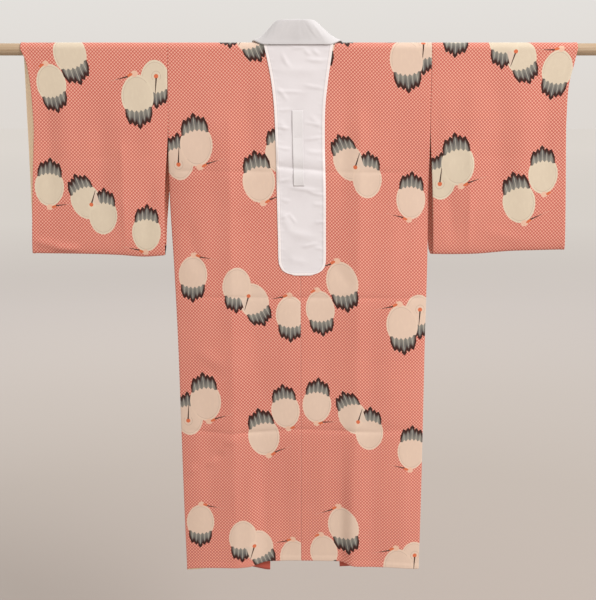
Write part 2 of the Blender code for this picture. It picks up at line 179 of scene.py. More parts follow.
# (depth, seam edge, back wrist edge, front wrist edge)
SLEEVE_EDGES = {
    -1: mm(
        (0, -303.6, -641, -641), (30, -304, -629, -641), (85, -304.7, -621.5, -640.5),
        (170, -305.6, -618.5, -640), (205, -307.2, -620, -639.5), (330, -317.2, -629, -639),
        (474, -320.5, -637.5, -638.5),
    ),
    1: mm(
        (0, 305.9, 641, 641), (30, 305.9, 635, 633), (85, 306, 624, 624), (170, 306.1, 622.5, 622),
        (205, 307.5, 623.5, 622.5), (330, 315.5, 629, 628), (474, 320.5, 635, 635),
    ),
}
# How far the front layer's open side edge reaches past the back one: (depth, left, right)
SLEEVE_REACH = mm(
    (195, 0, 0), (235, 5, 5), (300, 8.5, 9.5), (345, 7.5, 11), (400, 4, 11), (460, 1.5, 9.5),
    (474, 0, 6),
)
# (distance from the centre line, left sleeve drop, right sleeve drop)
SLEEVE_BOTTOM = mm(
    (310, 478.5, 476), (370, 482.5, 476.5), (430, 478.5, 475), (500, 476, 469), (560, 475, 467),
    (640, 474, 465),
)

# Pressed storage folds: (x above, x below, top, bottom, rise, half width)
FOLDS = {
    "back": mm(
        (-164, -158, 150, 1285, 3, 30), (143, 138.5, 120, 1285, 3, 28),
        (-415, -413, 100, 430, 2.5, 30), (402, 404, 30, 430, 2.5, 30),
    ),
    "front": mm(
        (-205, -200, 200, 1285, 2.5, 32), (228, 224, 160, 1285, 2.5, 30),
        (-490, -488, 60, 430, 2.5, 34), (510, 506, 90, 430, 2.5, 32),
    ),
}
STORAGE_LINES = (0.282, 0.583, 0.916)
FOLD_EASE = 0.080
RELIEF = 1.5
STRIP_RELIEF = 1.5

# Thin lines pressed in by storage, each a little step in the cloth:
# (x, depth, x, depth, rise, half width)
CREASES = {
    "back": mm(
        (-164, 150, -158, 1270, 1.8, 13), (143, 120, 139.5, 1000, 1.5, 14),
        (-415, 220, -413, 460, 2, 9), (402, 230, 404, 460, 2.2, 8), (614, 340, 620, 455, 0.8, 7),
        (-290, 279, 295, 283, -1.1, 5), (-285, 580, 295, 583, -1.4, 5),
        (-275, 914, -170, 922, -1.2, 5), (-170, 922, 10, 911, -2, 5.5),
        (10, 911, 210, 919, -2, 5.5), (200, 918, 290, 915, -1, 5), (-600, 250, -325, 246, -0.7, 5),
        (325, 244, 600, 248, -0.7, 5),
    ),
    "front": mm(
        (-205, 180, -200, 1270, 1.7, 13), (228, 150, 224, 1265, 1.6, 12),
        (-290, 282, -125, 280, -0.6, 5), (125, 281, 295, 284, -0.6, 5),
        (-285, 583, -130, 579, -0.7, 5), (135, 580, 295, 585, -0.6, 5),
        (-280, 912, -135, 919, -1, 5), (150, 918, 290, 913, -0.9, 5),
        (-490, 50, -488, 450, 1.4, 12), (510, 60, 506, 450, 1.3, 11),
    ),
}

# Soft troughs (-) and ridges (+): (x, depth, x, depth, rise, half width, bow)
SOFT_FOLDS = {
    "back": mm(
        (-289, 1030, -255, 1009, 1.6, 8, 2), (-230, 1005, -207, 989, 1.4, 7, 1),
        (-205, 984, -188, 971, -1.2, 7, 0), (-183, 947, -155, 937, 1.3, 8, -1),
        (175, 903, 295, 910, -0.9, 12, 4), (-243, 715, -180, 747, 1, 14, 3),
        (-230, 752, -190, 776, -0.8, 12, 0), (-262, 390, -235, 520, -1.4, 18, 6),
        (-205, 120, -185, 330, 1.2, 24, -6), (-120, 60, -105, 300, -1.2, 20, 4),
        (108, 80, 100, 360, -1.2, 18, -4), (205, 100, 190, 300, 1.1, 26, 8),
        (255, 360, 238, 560, -1.5, 20, -5), (-105, 600, -85, 860, -1.4, 26, 8),
        (-25, 560, -35, 840, 1.3, 30, -6), (65, 600, 75, 900, -1.2, 26, 5),
        (225, 620, 215, 880, 1.3, 28, 6), (-235, 800, -225, 1240, -1.8, 24, -8),
        (-105, 950, -115, 1250, 1.6, 22, 4), (-35, 960, -30, 1255, -1.6, 26, 6),
        (50, 950, 62, 1255, 1.4, 24, -5), (190, 940, 185, 1250, -1.6, 24, 4),
        (255, 960, 262, 1260, 1.2, 18, -3), (-90, 330, -140, 380, 0.8, 11, 2),
        (85, 500, 125, 560, -0.8, 12, -2), (-595, 453, -525, 464, 3, 9, 4),
        (-630, 442, -590, 452, 2.2, 8, 2), (-530, 60, -545, 300, 1.6, 26, 6),
        (-585, 90, -590, 380, -1.6, 18, -4), (-465, 120, -455, 400, -1.4, 22, 4),
        (-360, 60, -352, 260, 1.2, 24, -4), (-345, 300, -365, 450, -1.6, 15, 3),
        (350, 80, 348, 300, 1.4, 22, 4), (355, 310, 370, 450, -1.4, 15, 3),
        (455, 60, 470, 330, -1.5, 24, -5), (525, 80, 535, 400, 1.5, 26, 5),
        (585, 60, 580, 300, -1.3, 20, 3), (440, 420, 540, 440, 0.9, 12, 3),
    ),
    "front": mm(
        (-260, 360, -245, 560, -1.5, 20, 6), (-160, 120, -168, 420, 1.3, 22, -5),
        (-245, 620, -235, 900, 1.4, 22, 4), (-160, 560, -155, 900, -1.4, 20, 4),
        (-235, 940, -248, 1260, -1.6, 20, -4), (-165, 940, -158, 1260, 1.5, 20, 4),
        (165, 100, 172, 400, 1.2, 22, 5), (262, 340, 248, 560, -1.4, 18, -4),
        (180, 520, 185, 880, -1.3, 22, 5), (265, 620, 260, 900, 1.2, 20, 4),
        (190, 940, 195, 1255, 1.4, 18, -3), (260, 940, 268, 1250, -1.3, 18, 3),
        (-275, 930, -245, 952, 1.3, 8, 1), (235, 885, 280, 870, -1, 9, 2),
        (-545, 70, -555, 360, -1.5, 22, 5), (-420, 60, -412, 330, 1.4, 24, -4),
        (-355, 240, -370, 440, -1.4, 16, 3), (-595, 250, -580, 440, 1.4, 16, 3),
        (365, 60, 370, 320, 1.3, 22, 4), (435, 90, 442, 400, -1.4, 22, -5),
        (570, 60, 578, 330, 1.4, 20, 4), (540, 330, 590, 430, -1.2, 14, 3),
    ),
}

# Creases of the white strip, all standing out from it, in the same order
STRIP_FOLDS = mm(
    (-16, -3, 14, -3, 0.9, 3.5, 0), (14, 1, 25, 13, 1, 3.5, 1), (32, 1, 46, 13, 0.9, 3.5, 0),
    (18, 23, 60, 26, 1, 4, 1), (-39, 9, -22, 40, 1, 4.5, 2), (12, 81, 58, 88, 0.8, 4, 1),
    (-51, 88, -28, 115, 0.8, 4.5, -1), (-45, 160, -30, 185, 0.6, 6, 1),
    (25, 150, 50, 172, 0.6, 6, 1), (-22, 316, 50, 325, 1, 4.5, 1), (-42, 347, -22, 349, 0.7, 4, 0),
    (33, 356, 59, 360, 0.7, 4, 0), (-43, 376, -24, 420, 1, 10, -3), (-24, 421, 40, 433, 1, 10, 3),
    (7, 457, 43, 449, 1, 3.5, 1), (38, 461, 55, 461, 0.6, 3.5, 0), (-25, 485, 20, 495, 0.6, 8, 2),
    (-60, 44, 45, 48, 0.7, 10, 2), (-60, 96, 10, 98, 0.8, 3.5, -1), (-52, 139, -18, 135, 0.8, 3, 1),
    (-54, 175, -24, 179, 0.9, 3, 1), (14, 166, 56, 176, 0.8, 3.5, -1),
    (13, 206, 59, 200, 0.9, 3, 0), (-51, 224, -20, 227, 0.8, 3.2, 1), (18, 233, 60, 237, 0.8, 5, 1),
    (-49, 303, -20, 296, 0.9, 3.2, 1), (22, 327, 59, 335, 0.9, 3.2, 1),
    (-42, 390, -24, 379, 0.8, 3, 0), (-23, 380, -8, 400, 0.8, 3, 0),
    (38, 400, 60, 396, 0.8, 3.5, 1),
)
# Fold across the strip: cloth above it faces down, cloth below it faces up
STRIP_BREAK = mm((-52, 268.6), (62, 279.3))
STRIP_BREAK_RISE = 0.0048
STRIP_BREAK_ABOVE = 0.0320
STRIP_BREAK_BELOW = 0.0080
STRIP_BREAK_SPREAD = 0.040

# Where the print starts on a piece, across and down the cloth
RIGHT_PANEL_PRINT = (0.0188, 1.4764)
LEFT_SLEEVE_PRINT = (-0.6088, 0.9418)
RIGHT_SLEEVE_PRINT = (-0.6068, 0.5786)
COLLAR_PRINT = {-1: (-0.025, 0.18), 1: (-0.145, 0.54)}

# Print, in millimetres: cranes on a dotted ground, repeated down the cloth
REPEAT = 622
REPEATS = range(-4, 5)
UPRIGHT, FOLDED, WEDGED, BARE, SHORT = 0, 1, 2, 3, 4
# Nearest first: (across, down, tail turned from up in degrees, mirrored, kind, size)
CRANES = (
    (-147.2, 556.2, 182, 1, WEDGED, 1.00),
    (-236.2, 840.2, -5, 1, UPRIGHT, 1.12),
    (-250.6, 513, 182, -1, UPRIGHT, 1.02),
    (-19.5, 622.3, 180, 1, UPRIGHT, 1.03),
    (-88.7, 932.4, -11, 1, UPRIGHT, 1.12),
    (-37.7, 868.8, -6, 1, SHORT, 1.02),
    (-104.2, 590.1, 158, 1, BARE, 1.02),
    (-272.3, 881.4, -3, 1, FOLDED, 1.00),
)
# How far cranes are printed off their place, by (node, repeat) and crane: across, down, turn
CRANE_SLIPS = {
    ("body_left", -1): {
        0: (0, -4, 0), 1: (3, -4, 0), 4: (0, -3, 3), 5: (0, -2, 0), 7: (-2, -10, 0),
    },
    ("body_left", 0): {
        0: (0, -6, 0), 1: (6, -4, 0), 2: (-1, 5, 0), 3: (0, 4, 0), 4: (0, 1, 0), 5: (3, 0, 0),
        6: (-3, 0, 0), 7: (0, -5, 0),
    },
    ("body_left", 1): {
        0: (0, 12, 0), 2: (-2, 11, 0), 3: (0, 11, 0), 6: (-4, 8, 0),
    },
    ("body_right", 1): {
        1: (-1, -3, 0), 3: (12, 0, 0), 6: (0, 4, 0), 7: (-2, -10, 0),
    },
    ("body_right", 0): {
        0: (-5, 2, 0), 1: (5, -5, 0), 2: (-6, 0, 0), 3: (-4, 0, 4), 4: (2, 0, 0), 5: (4, -5, 0),
        6: (-8, 7, 0), 7: (0, -15, 0),
    },
    ("body_right", -1): {
        1: (11, -8, 0), 4: (2, 0, 0), 5: (0, -10, 0), 7: (8, -26, 0),
    },
    ("sleeve_left", 0): {
        1: (2, -4, 0), 2: (0, 3, 0), 3: (0, 2, 3), 4: (12, 0, -9), 5: (6, -4, -7), 6: (-2, 2, 0),
        7: (-4, -7, 0),
    },
    ("sleeve_right", 0): {
        0: (6, 0, 0), 1: (6, 3, -5), 2: (0, 16, 0), 3: (5, 2, 9), 4: (9, 0, -5), 5: (9, -2, 0),
        6: (3, 3, 0), 7: (5, 0, 0),
    },
}
# Metres that a crane's drawing can reach: left, right, below and above its middle
CRANE_BOX = (-0.045, 0.067, -0.061, 0.077)
KIND_STEP = 1.0
NO_CRANE = (0.0, 9.0)


def smooth(low, high, at):
    """0 below low, 1 above high, eased between."""
    part = np.clip((at - low) / (high - low), 0.0, 1.0)
    return part * part * (3.0 - 2.0 * part)


def between(low, full, falling, end, at):
    """Eased from 0 at low up to 1 at full, and from falling down to 0 at end."""
    return smooth(low, full, at) * (1.0 - smooth(falling, end, at))


def bell(off):
    """1 at the middle of a bell curve, about 0.37 at 1 from it."""
    return np.exp(-(off ** 2))


def mix(first, second, part):
    return first + (second - first) * part


def packed(*parts):
    """Numbers and arrays put side by side, as the places of points."""
    return np.stack(np.broadcast_arrays(*parts), axis=-1)


def along(table, at, column):
    """Smooth curve through one column of a table, held at its ends."""
    keys, values = table[:, 0], table[:, column]
    slopes = np.empty(len(keys))
    slopes[1:-1] = (values[2:] - values[:-2]) / (keys[2:] - keys[:-2])
    slopes[[0, -1]] = (np.diff(values) / np.diff(keys))[[0, -1]]
    at = np.clip(at, keys[0], keys[-1])
    row = np.clip(np.searchsorted(keys, at) - 1, 0, len(keys) - 2)
    span = keys[row + 1] - keys[row]
    part = (at - keys[row]) / span
    squared = part * part
    cubed = squared * part
    return (
        (2 * cubed - 3 * squared + 1) * values[row]
        + (cubed - 2 * squared + part) * span * slopes[row]
        + (3 * squared - 2 * cubed) * values[row + 1]
        + (cubed - squared) * span * slopes[row + 1]
    )


def fold_rise(wall, x, depth):
    """How far the pressed folds lift a wall away from the hollow."""
    rise = 0.0
    for x_above, x_below, top, bottom, height, half_width in FOLDS[wall]:
        part = np.clip((depth - top) / (bottom - top), 0.0, 1.0)
        away = (x - mix(x_above, x_below, part)) / half_width
        fade = smooth(top, top + FOLD_EASE, depth)
        if bottom < BODY_LENGTH:
            fade = fade * (1.0 - smooth(bottom - FOLD_EASE, bottom, depth))
        rise = rise + height * fade * bell(away)
    return rise


def body_gap(depth):
    """Half the distance between the middles of the back and front walls."""
    return HEM_GAP + (CREST_R - HEM_GAP) * np.exp(-np.maximum(depth, 0.0) / GAP_FALL)


def side_inward(x, depth):
    """0 at the body's side edge, 1 where the wall is away from it."""
    edge = np.where(x < 0, along(BODY_EDGES, depth, 1), along(BODY_EDGES, depth, 3))
    return np.clip((np.abs(edge) - np.abs(x)) / SIDE_ROUND, 0.0, 1.0)


def front_hem(x):
    """Depth of the front hem's cloth."""
    return along(FRONT_HEM, x, 1) - along(HEM_TRIM, x, 1)


def hang(wall, x, depth):
    """Y of the body's back or front wall below the rod."""
    closed = smooth(ARMHOLE_END, SIDE_SEAM_TOP, depth)
    full = body_gap(depth)
    at_edge = mix(full, SIDE_GAP, closed)
    inward = side_inward(x, depth)
    gap = mix(at_edge, full, 1.0 - (1.0 - inward) ** 2)
    gap = gap + fold_rise(wall, x, depth) * smooth(0.0, 1.0, inward)
    if wall == "front":
        return gap
    return -gap + HOLLOW_DEPTH * between(*HOLLOW_X, x) * smooth(HOLLOW_TOP, BODY_LENGTH, depth)


def upright(x):
    """1 where the back rises straight to the collar, 0 where it wraps the rod."""
    return 1.0 - np.clip((np.abs(x) - NECK_X) / NECK_RELAX, 0.0, 1.0)


def over_rod(x, path, lift):
    """Points of the body cloth near the rod."""
    rise = QUARTER - np.abs(path)
    y = np.copysign(CREST_R * np.cos(rise / CREST_R), path)
    z = CREST_R * np.sin(rise / CREST_R)
    return packed(x, mix(y, -CREST_R, lift), mix(z, rise, lift))


def back_point(x, depth):
    """Points of the body's back by depth, up to where it wraps the rod."""
    x, depth = np.broadcast_arrays(x, depth)
    below = packed(x, hang("back", x, depth), -depth)
    above = over_rod(x, -QUARTER - np.minimum(depth, 0.0), upright(x))
    return np.where((depth < 0.0)[..., None], above, below)


def lines_rise(table, x, depth):
    """Sum of the folds in a table: each runs between two points and fades at its ends."""
    rise = np.zeros(np.shape(x))
    for x1, depth1, x2, depth2, height, half_width, *bow in table:
        length = math.hypot(x2 - x1, depth2 - depth1)
        across, down = (x2 - x1) / length, (depth2 - depth1) / length
        share = ((x - x1) * across + (depth - depth1) * down) / length
        off = (x - x1) * down - (depth - depth1) * across
        if bow:
            off = off + bow[0] * 4.0 * np.clip(share * (1.0 - share), 0.0, 1.0)
            rise += height * between(-0.2, 0.35, 0.65, 1.2, share) * bell(off / half_width)
        else:
            reach = 0.03 / length
            fade = between(-reach, reach, 1.0 - reach, 1.0 + reach, share)
            uneven = 0.75 + 0.25 * np.sin(share * length * 41.0 + x1 * 300.0)
            rise += height * fade * uneven * np.exp(-np.abs(off) / half_width)
    return rise


def relief(wall, x, depth, edge_distance):
    """Creases and soft folds of a hanging wall, held flat at its closed sides."""
    rise = lines_rise(CREASES[wall], x, depth) + lines_rise(SOFT_FOLDS[wall], x, depth)
    return RELIEF * rise * smooth(0.005, 0.060, depth) * smooth(0.0, 0.030, edge_distance)


def spaced(length, step, first=(), last=()):
    """Shares along a length: even steps, with close ones at its ends."""
    count = max(round(length / step), 2)
    near = max(first) * 1.4 if first else 0.0
    far = length - (max(last) * 1.4 if last else 0.0)
    marks = [length * index / count for index in range(1, count)]
    marks = [mark for mark in marks if near < mark < far]
    marks = [0.0, *first, *marks, *(length - mark for mark in reversed(last)), length]
    return np.array(marks) / length


def normals_of(points):
    """Outward directions on a grid whose columns run to +X and rows over to the front."""
    along_row = np.gradient(points, axis=1)
    along_column = np.gradient(points, axis=0)
    normal = np.cross(along_row, along_column)
    return normal / np.maximum(np.linalg.norm(normal, axis=-1, keepdims=True), 1e-12)


def grid_corners(number):
    """Quads of a grid of point numbers, by row and column."""
    return packed(number[:-1, :-1], number[:-1, 1:], number[1:, 1:], number[1:, :-1])


def numbered(rows, columns):
    return np.arange(rows * columns).reshape(rows, columns)


def linked(name, data):
    """New object in the scene."""
    made = bpy.data.objects.new(name, data)
    bpy.context.scene.collection.objects.link(made)
    return made


def aimed(name, data, place, target):
    """New lamp or camera in the scene, turned to a target."""
    made = linked(name, data)
    made.location = place
    made.rotation_euler = (Vector(target) - Vector(place)).to_track_quat("-Z", "Y").to_euler()
    return made


def make_mesh(name, points, corners, layers):
    """Mesh from points, quads and (name, value at each quad corner) layers."""
    used, where = np.unique(corners, return_inverse=True)
    mesh = bpy.data.meshes.new(name)
    mesh.from_pydata(points.reshape(-1, 3)[used].tolist(), [], where.reshape(-1, 4).tolist())
    for layer, values in layers:
        uv = mesh.uv_layers.new(name=layer)
        uv.data.foreach_set("uv", np.ascontiguousarray(values, dtype=np.float32).ravel())
    mesh.shade_smooth()
    return linked(name, mesh)


def crane_layers(node, spots):
    """Where each quad corner lies in the drawings of the two nearest cranes over it."""
    centre = spots.mean(axis=1)
    held = [np.full(spots.shape, NO_CRANE) for _ in range(2)]
    taken = np.zeros(len(spots), dtype=int)
    left, right, low, high = CRANE_BOX
    for number, (across, down, turn, mirrored, kind, size) in enumerate(CRANES):
        for repeat in REPEATS:
            slips = CRANE_SLIPS.get((node, repeat), {})
            aside, below, turned = slips.get(number, (0, 0, 0))
            place = np.array((across + aside, down + below + repeat * REPEAT)) / 1000.0
            lean = math.radians(turn + turned)
            sine, cosine = math.sin(lean), math.cos(lean)

            def own(points):
                u, v = np.moveaxis((points - place) / size, -1, 0)
                return packed(mirrored * (u * cosine + v * sine), u * sine - v * cosine)

            u, v = own(centre).T
            inside = (u > left) & (u < right) & (v > low) & (v < high)
            if not inside.any():
                continue
            before = taken[inside]
            local = own(spots[inside])
            local[..., 0] += kind * KIND_STEP
            for order, layer in enumerate(held):
                layer[np.flatnonzero(inside)[before == order]] = local[before == order]
            taken[inside] += 1
    return held


def printed(node, points, corners, spots):
    """Printed cloth piece: spots place the dots, two more layers the cranes."""
    nearest, behind = crane_layers(node, spots)
    layers = (("cloth", spots), ("crane_front", nearest), ("crane_back", behind))
    return make_mesh("cloth_" + node, points, corners, layers)


def thicken(piece, thickness, *materials):
    """Gives a sheet its thickness; a second material goes on its wrong side."""
    for material in materials:
        piece.data.materials.append(material)
    wall = piece.modifiers.new("cloth", "SOLIDIFY")
    wall.thickness = thickness
    wall.offset = 0.0
    wall.material_offset = len(materials) - 1


def give_material(piece, quads, material):
    """Puts one more material on some of a piece's quads."""
    piece.data.materials.append(material)
    number = len(piece.data.materials) - 1
    piece.data.polygons.foreach_set("material_index", np.where(quads, number, 0).astype(np.int32))


def body_chart(side, x, h):
    """Place in the print of a point of the body, as the panel hangs."""
    drop = -0.005 + 0.013 * np.clip((np.abs(x) - 0.05) / 0.23, 0.0, 1.0)
    across, down = x - 0.013 * (h - 0.72), h - drop
    start_x, start_h = RIGHT_PANEL_PRINT
    return packed(across, down) if side < 0 else packed(start_x - across, start_h - down)


def sleeve_chart(side, x, h):
    """Place in the print of a point of a sleeve, as the sleeve hangs."""
    if side < 0:
        across, down = LEFT_SLEEVE_PRINT
        return packed(across - x - 0.0185 * (x + 0.567) - 0.014 * (h - 0.36), down - h)
    across, down = RIGHT_SLEEVE_PRINT
    return packed(across + x + 0.034 * (h - 0.16), down + h)


def seam_dip(distance):
    """Cloth drawn in beside a seam."""
    return -0.0007 * np.exp(-np.maximum(distance, 0.0) / 0.0022)


def hem_rise(distance, width):
    """Doubled cloth of a turned hem and the stitched line above it."""
    inside = 1.0 - smooth(width - 0.002, width + 0.001, distance)
    return 0.0004 * inside - 0.0003 * bell((distance - width - 0.001) / 0.0018)


def laid_out(side, chart, rows):
    """Points lifted by their insets and their places in the print, columns towards +X."""
    points, places, insets, *rest = (np.array(grid)[:, ::side] for grid in zip(*rows))
    points = points + normals_of(points) * (insets + PRINT_OUT)[..., None]
    return points, chart(side, places[..., 0], places[..., 1]).reshape(-1, 2), *rest


def body_cloth(side):
    """One body panel: back hem, over the rod, front hem, with the neck cut out."""
    edge_column, collar_column = (1, 1) if side < 0 else (3, 2)
    neck = spaced(NECK_X, ACROSS, first=EDGE_STEPS)
    relax = np.linspace(0.0, 1.0, 6)[1:-1]
    steps = round(PANEL_SPAN / ACROSS)
    shares = 1.0 - (1.0 - np.arange(steps + 1) / steps) ** COLUMN_CROWD
    neck_columns = len(neck) - 1

    def columns(centre, inner, side_edge):
        relaxed = inner + side * NECK_RELAX
        return np.concatenate((
            mix(centre, inner, neck), mix(inner, relaxed, relax), mix(relaxed, side_edge, shares),
        ))

    drops = 1.0 - spaced(BODY_LENGTH, DOWN, first=HEM_STEPS)
    close = [(line + off) / BODY_LENGTH for line in STORAGE_LINES for off in LINE_STEPS]
    apart = [min(abs(drop - other) for other in close) > LINE_CLEAR / BODY_LENGTH for drop in drops]
    drops = np.sort([*drops[apart], *close])[::-1]
    grids = []
    for wall, stations in (("back", drops), ("arch", ARCH), ("front", drops[::-1])):
        for station in stations:
            level = 0.0 if wall == "arch" else station * BODY_LENGTH
            centre = along(BODY_EDGES, level, 2) + side * SEAM / 2
            side_edge = along(BODY_EDGES, level, edge_column) - side * SEAM / 2
            if wall == "arch":
                turned = smooth(NECK_RISE - QUARTER, NECK_RISE - QUARTER + NECK_TURN, station)
                neck_edge = FOLD_X[side] + along(NECK_EDGE, station, 1)
                x = columns(centre, side * mix(NECK_X, neck_edge, turned), side_edge)
                point = over_rod(x, station, upright(x) * (1.0 - turned))
                path, inset = station, 0.0
            else:
                inner = NECK_X
                if wall == "front":
                    inner = along(COLLAR_EDGES, level, collar_column) - COLLAR_LAP
                x = columns(centre, side * inner, side_edge)
                hem = along(BACK_HEM, x, 1) if wall == "back" else front_hem(x)
                depth = station * hem
                point = packed(x, hang(wall, x, depth), -depth)
                path = (-1 if wall == "back" else 1) * (QUARTER + depth)
                inset = relief(wall, x, depth, side_inward(x, depth) * SIDE_ROUND)
                inset = inset + hem_rise(hem - depth, BODY_HEM)
            inset = inset + seam_dip(np.abs(side_edge - x)) * (1.0 if wall != "arch" else 0.4)
            if wall == "back":
                inset = inset + seam_dip(np.abs(x - centre))
            grids.append((point, packed(x, -path - QUARTER), inset))
    points, chart = laid_out(side, body_chart, grids)
    rows, count = points.shape[:2]
    number = numbered(rows, count)
    row, column = np.indices((rows - 1, count - 1))
    on_neck = column < neck_columns if side > 0 else column >= count - 1 - neck_columns
    above = row >= len(drops) - 1 + NECK_OPEN_ROW
    corners = grid_corners(number)[~(on_neck & above)]

    edge = number[:, 0 if side < 0 else -1]
    low = np.flatnonzero(drops[1:] * BODY_LENGTH > SIDE_SEAM_TOP)
    closing = packed(edge[low], edge[low + 1], edge[rows - 2 - low], edge[rows - 1 - low])
    at_seam = chart[closing[:, (0, 1, 1, 0)]]
    if side > 0:
        closing, at_seam = closing[:, ::-1], at_seam[:, ::-1]
    return points, np.concatenate((corners, closing)), np.concatenate((chart[corners], at_seam))


def sleeve_cloth(side):
    """One sleeve: bottom seam, up the back, over the rod, down the front."""
    edges, drop_column = SLEEVE_EDGES[side], 1 if side < 0 else 2
    scale = CREST_R / (SLEEVE_CURVE * math.acosh(1.0 + SLEEVE_DROP / SLEEVE_CURVE))
    foot = [(SLEEVE_CURVE * (math.cosh(turn) - 1.0), SLEEVE_CURVE * turn) for turn in SLEEVE_FOOT]
    start = foot[-1][0]
    steps = round((SLEEVE_DROP - start) / DOWN)
    for step in range(1, steps + 1):
        height = mix(start, SLEEVE_DROP, step / steps)
        foot.append((height, SLEEVE_CURVE * math.acosh(1.0 + height / SLEEVE_CURVE)))
    shares = spaced(SLEEVE_WIDTH, ACROSS, first=EDGE_STEPS, last=WRIST_STEPS)
    stations = [("back", height, gap) for height, gap in foot]
    stations += [("arch", path, 0.0) for path in ARCH]
    stations += [("front", height, gap) for height, gap in reversed(foot)]
    grids = []
    for wall, height, gap in stations:
        depth = 0.0 if wall == "arch" else SLEEVE_DROP - height
        seam = along(edges, depth, 1) + side * SEAM / 2
        if wall == "front":
            seam = seam - side * along(SLEEVE_REACH, depth, drop_column)
        wrist = along(edges, depth, 3 if wall == "front" else 2)
        x = mix(seam, wrist, shares)
        seam_gap, wrist_gap = np.abs(x - seam), np.abs(x - wrist)
        if wall == "arch":
            point = over_rod(x, height, 0.0)
            path, inset = height, 0.0
        else:
            facing = -1 if wall == "back" else 1
            out = gap * mix(1.0, scale, smooth(0.0, SLEEVE_DROP, height))
            out = out + fold_rise(wall, x, depth)
            real_depth = depth * along(SLEEVE_BOTTOM, np.abs(x), drop_column) / SLEEVE_DROP
            point = packed(x, facing * out, -real_depth)
            path = facing * (QUARTER + real_depth)
            inset = relief(wall, x, real_depth, seam_gap) * smooth(0.0, 0.012, height)
        inset = inset + hem_rise(wrist_gap, WRIST_HEM) + seam_dip(seam_gap)
        hem_gap = seam_gap + (0.0 if wall == "front" else 1.0)
        grids.append((point, packed(x, -path - QUARTER), inset, hem_gap))
    points, chart, hem_gap = laid_out(side, sleeve_chart, grids)
    number = numbered(*hem_gap.shape)
    corners = grid_corners(number).reshape(-1, 4)
    first, last = number[0], number[-1]
    closing = packed(last[:-1], last[1:], first[1:], first[:-1])
    spots = np.concatenate((chart[corners], chart[closing[:, (3, 2, 2, 3)]]))
    corners = np.concatenate((corners, closing))
    hem = hem_gap.ravel()[corners].max(axis=1) < OPEN_SIDE_HEM
    return points, corners, spots, hem


def band_raw(fold, turned, width):
    """Straight band rolled forward over a slanting fold: x, y, z on the right side."""
    bulge = COLLAR_R * np.sin(turned / COLLAR_R)
    x = fold - width + (turned + bulge) / math.sqrt(2.0)
    z = COLLAR_ROOT + width + (bulge - turned) / math.sqrt(2.0)
    return x, -COLLAR_R * np.cos(turned / COLLAR_R), z


def seam_round_rod(part, end_z):
    """Y and Z of the collar's seam edge, led round the cloth on the rod."""
    start = math.atan2(COLLAR_R, COLLAR_ROOT)
    arc = COLLAR_CLEAR * (start + math.pi / 2)
    gone = (arc - end_z) * part ** SEAM_EASE
    depth = np.maximum(gone - arc, 0.0)
    extra = (COLLAR_CLEAR - COLLAR_R) * (1.0 + depth / end_z)
    angle = gone / COLLAR_CLEAR - start
    radius = mix(math.hypot(COLLAR_R, COLLAR_ROOT), COLLAR_CLEAR, smooth(0.0, SEAM_SETTLE, part))
    past = gone > arc
    y = np.where(past, body_gap(depth) + COLLAR_OUT + extra, radius * np.sin(angle))
    return y, np.where(past, -depth, radius * np.cos(angle))


def collar_lean(side, stage, width):
    """Sideways lean of the standing collar, most at its free edge beside the neck."""
    beside = between(0.0, 1.1, 1.2, 2.08, stage)
    return side * COLLAR_LEAN[side] * beside * smooth(0.010, COLLAR_WIDTH, width)


def collar_point(side, stage, width):
    """Middle of the collar band. stage 0-1 back, 1-2 fold at the neck, 2-3 front."""
    stage, width = np.broadcast_arrays(np.asarray(stage, float), np.asarray(width, float))
    lean = collar_lean(side, stage, width)
    fold = FOLD_X[side]
    edge_column = 1 if side < 0 else 2
    half_turn = COLLAR_R * math.pi
    top = COLLAR_ROOT - half_turn / math.sqrt(2.0)
    at_back = packed(side * stage * (fold - width) + lean, -COLLAR_R, COLLAR_ROOT + width)
    part = np.clip(stage - 1.0, 0.0, 1.0)
    x, y, z = band_raw(fold, part * half_turn, width)
    _, seam_y, seam_z = band_raw(fold, part * half_turn, 0.0)
    led_y, led_z = seam_round_rod(part, top)
    hold = np.maximum(1.0 - width / COLLAR_HOLD, 0.0) ** 2
    neck_y, neck_z = y + (led_y - seam_y) * hold, z + (led_z - seam_z) * hold
    at_neck = packed(side * x + lean, neck_y, neck_z)
    end = -front_hem(side * (COLLAR_EDGES[-1][edge_column] - width))
    z = mix(top + width, end, stage - 2.0)
    edge = along(COLLAR_EDGES, -z, edge_column)
    lap = side * np.maximum(edge - width, edge - COLLAR_LAP)
    front_y = hang("front", lap, np.maximum(-z, 0.0)) + COLLAR_OUT
    at_front = packed(side * (edge - width) + lean, front_y, z)
    stage = stage[..., None]
    return np.where(stage <= 1.0, at_back, np.where(stage <= 2.0, at_neck, at_front))


def collar_frame(side, stage, width, sample=0.002):
    """Points, outward normals and directions of the free edge on the collar."""
    low = np.clip(width - sample, 0.0, COLLAR_WIDTH - 2 * sample)
    across = collar_point(side, stage, low + 2 * sample) - collar_point(side, stage, low)
    forward = collar_point(side, np.minimum(stage + sample, 3.0), width)
    forward = forward - collar_point(side, np.maximum(stage - sample, 0.0), width)
    normal = np.cross(across, forward)
    normal = normal / np.linalg.norm(normal, axis=-1, keepdims=True) * -side
    across = across / np.linalg.norm(across, axis=-1, keepdims=True)
    return collar_point(side, stage, width), normal, across


def collar_stages(last_stage, front_length):
    """Stations from the centre back to the end of a band, about 6 mm apart."""
    back = np.linspace(0.0, 1.0, 13)[:-1]
    bend = np.linspace(1.0, 2.0, 25)[:-1]
    front = np.linspace(2.0, last_stage, round(front_length / DOWN) + 1)
    return np.concatenate((back, bend, front))


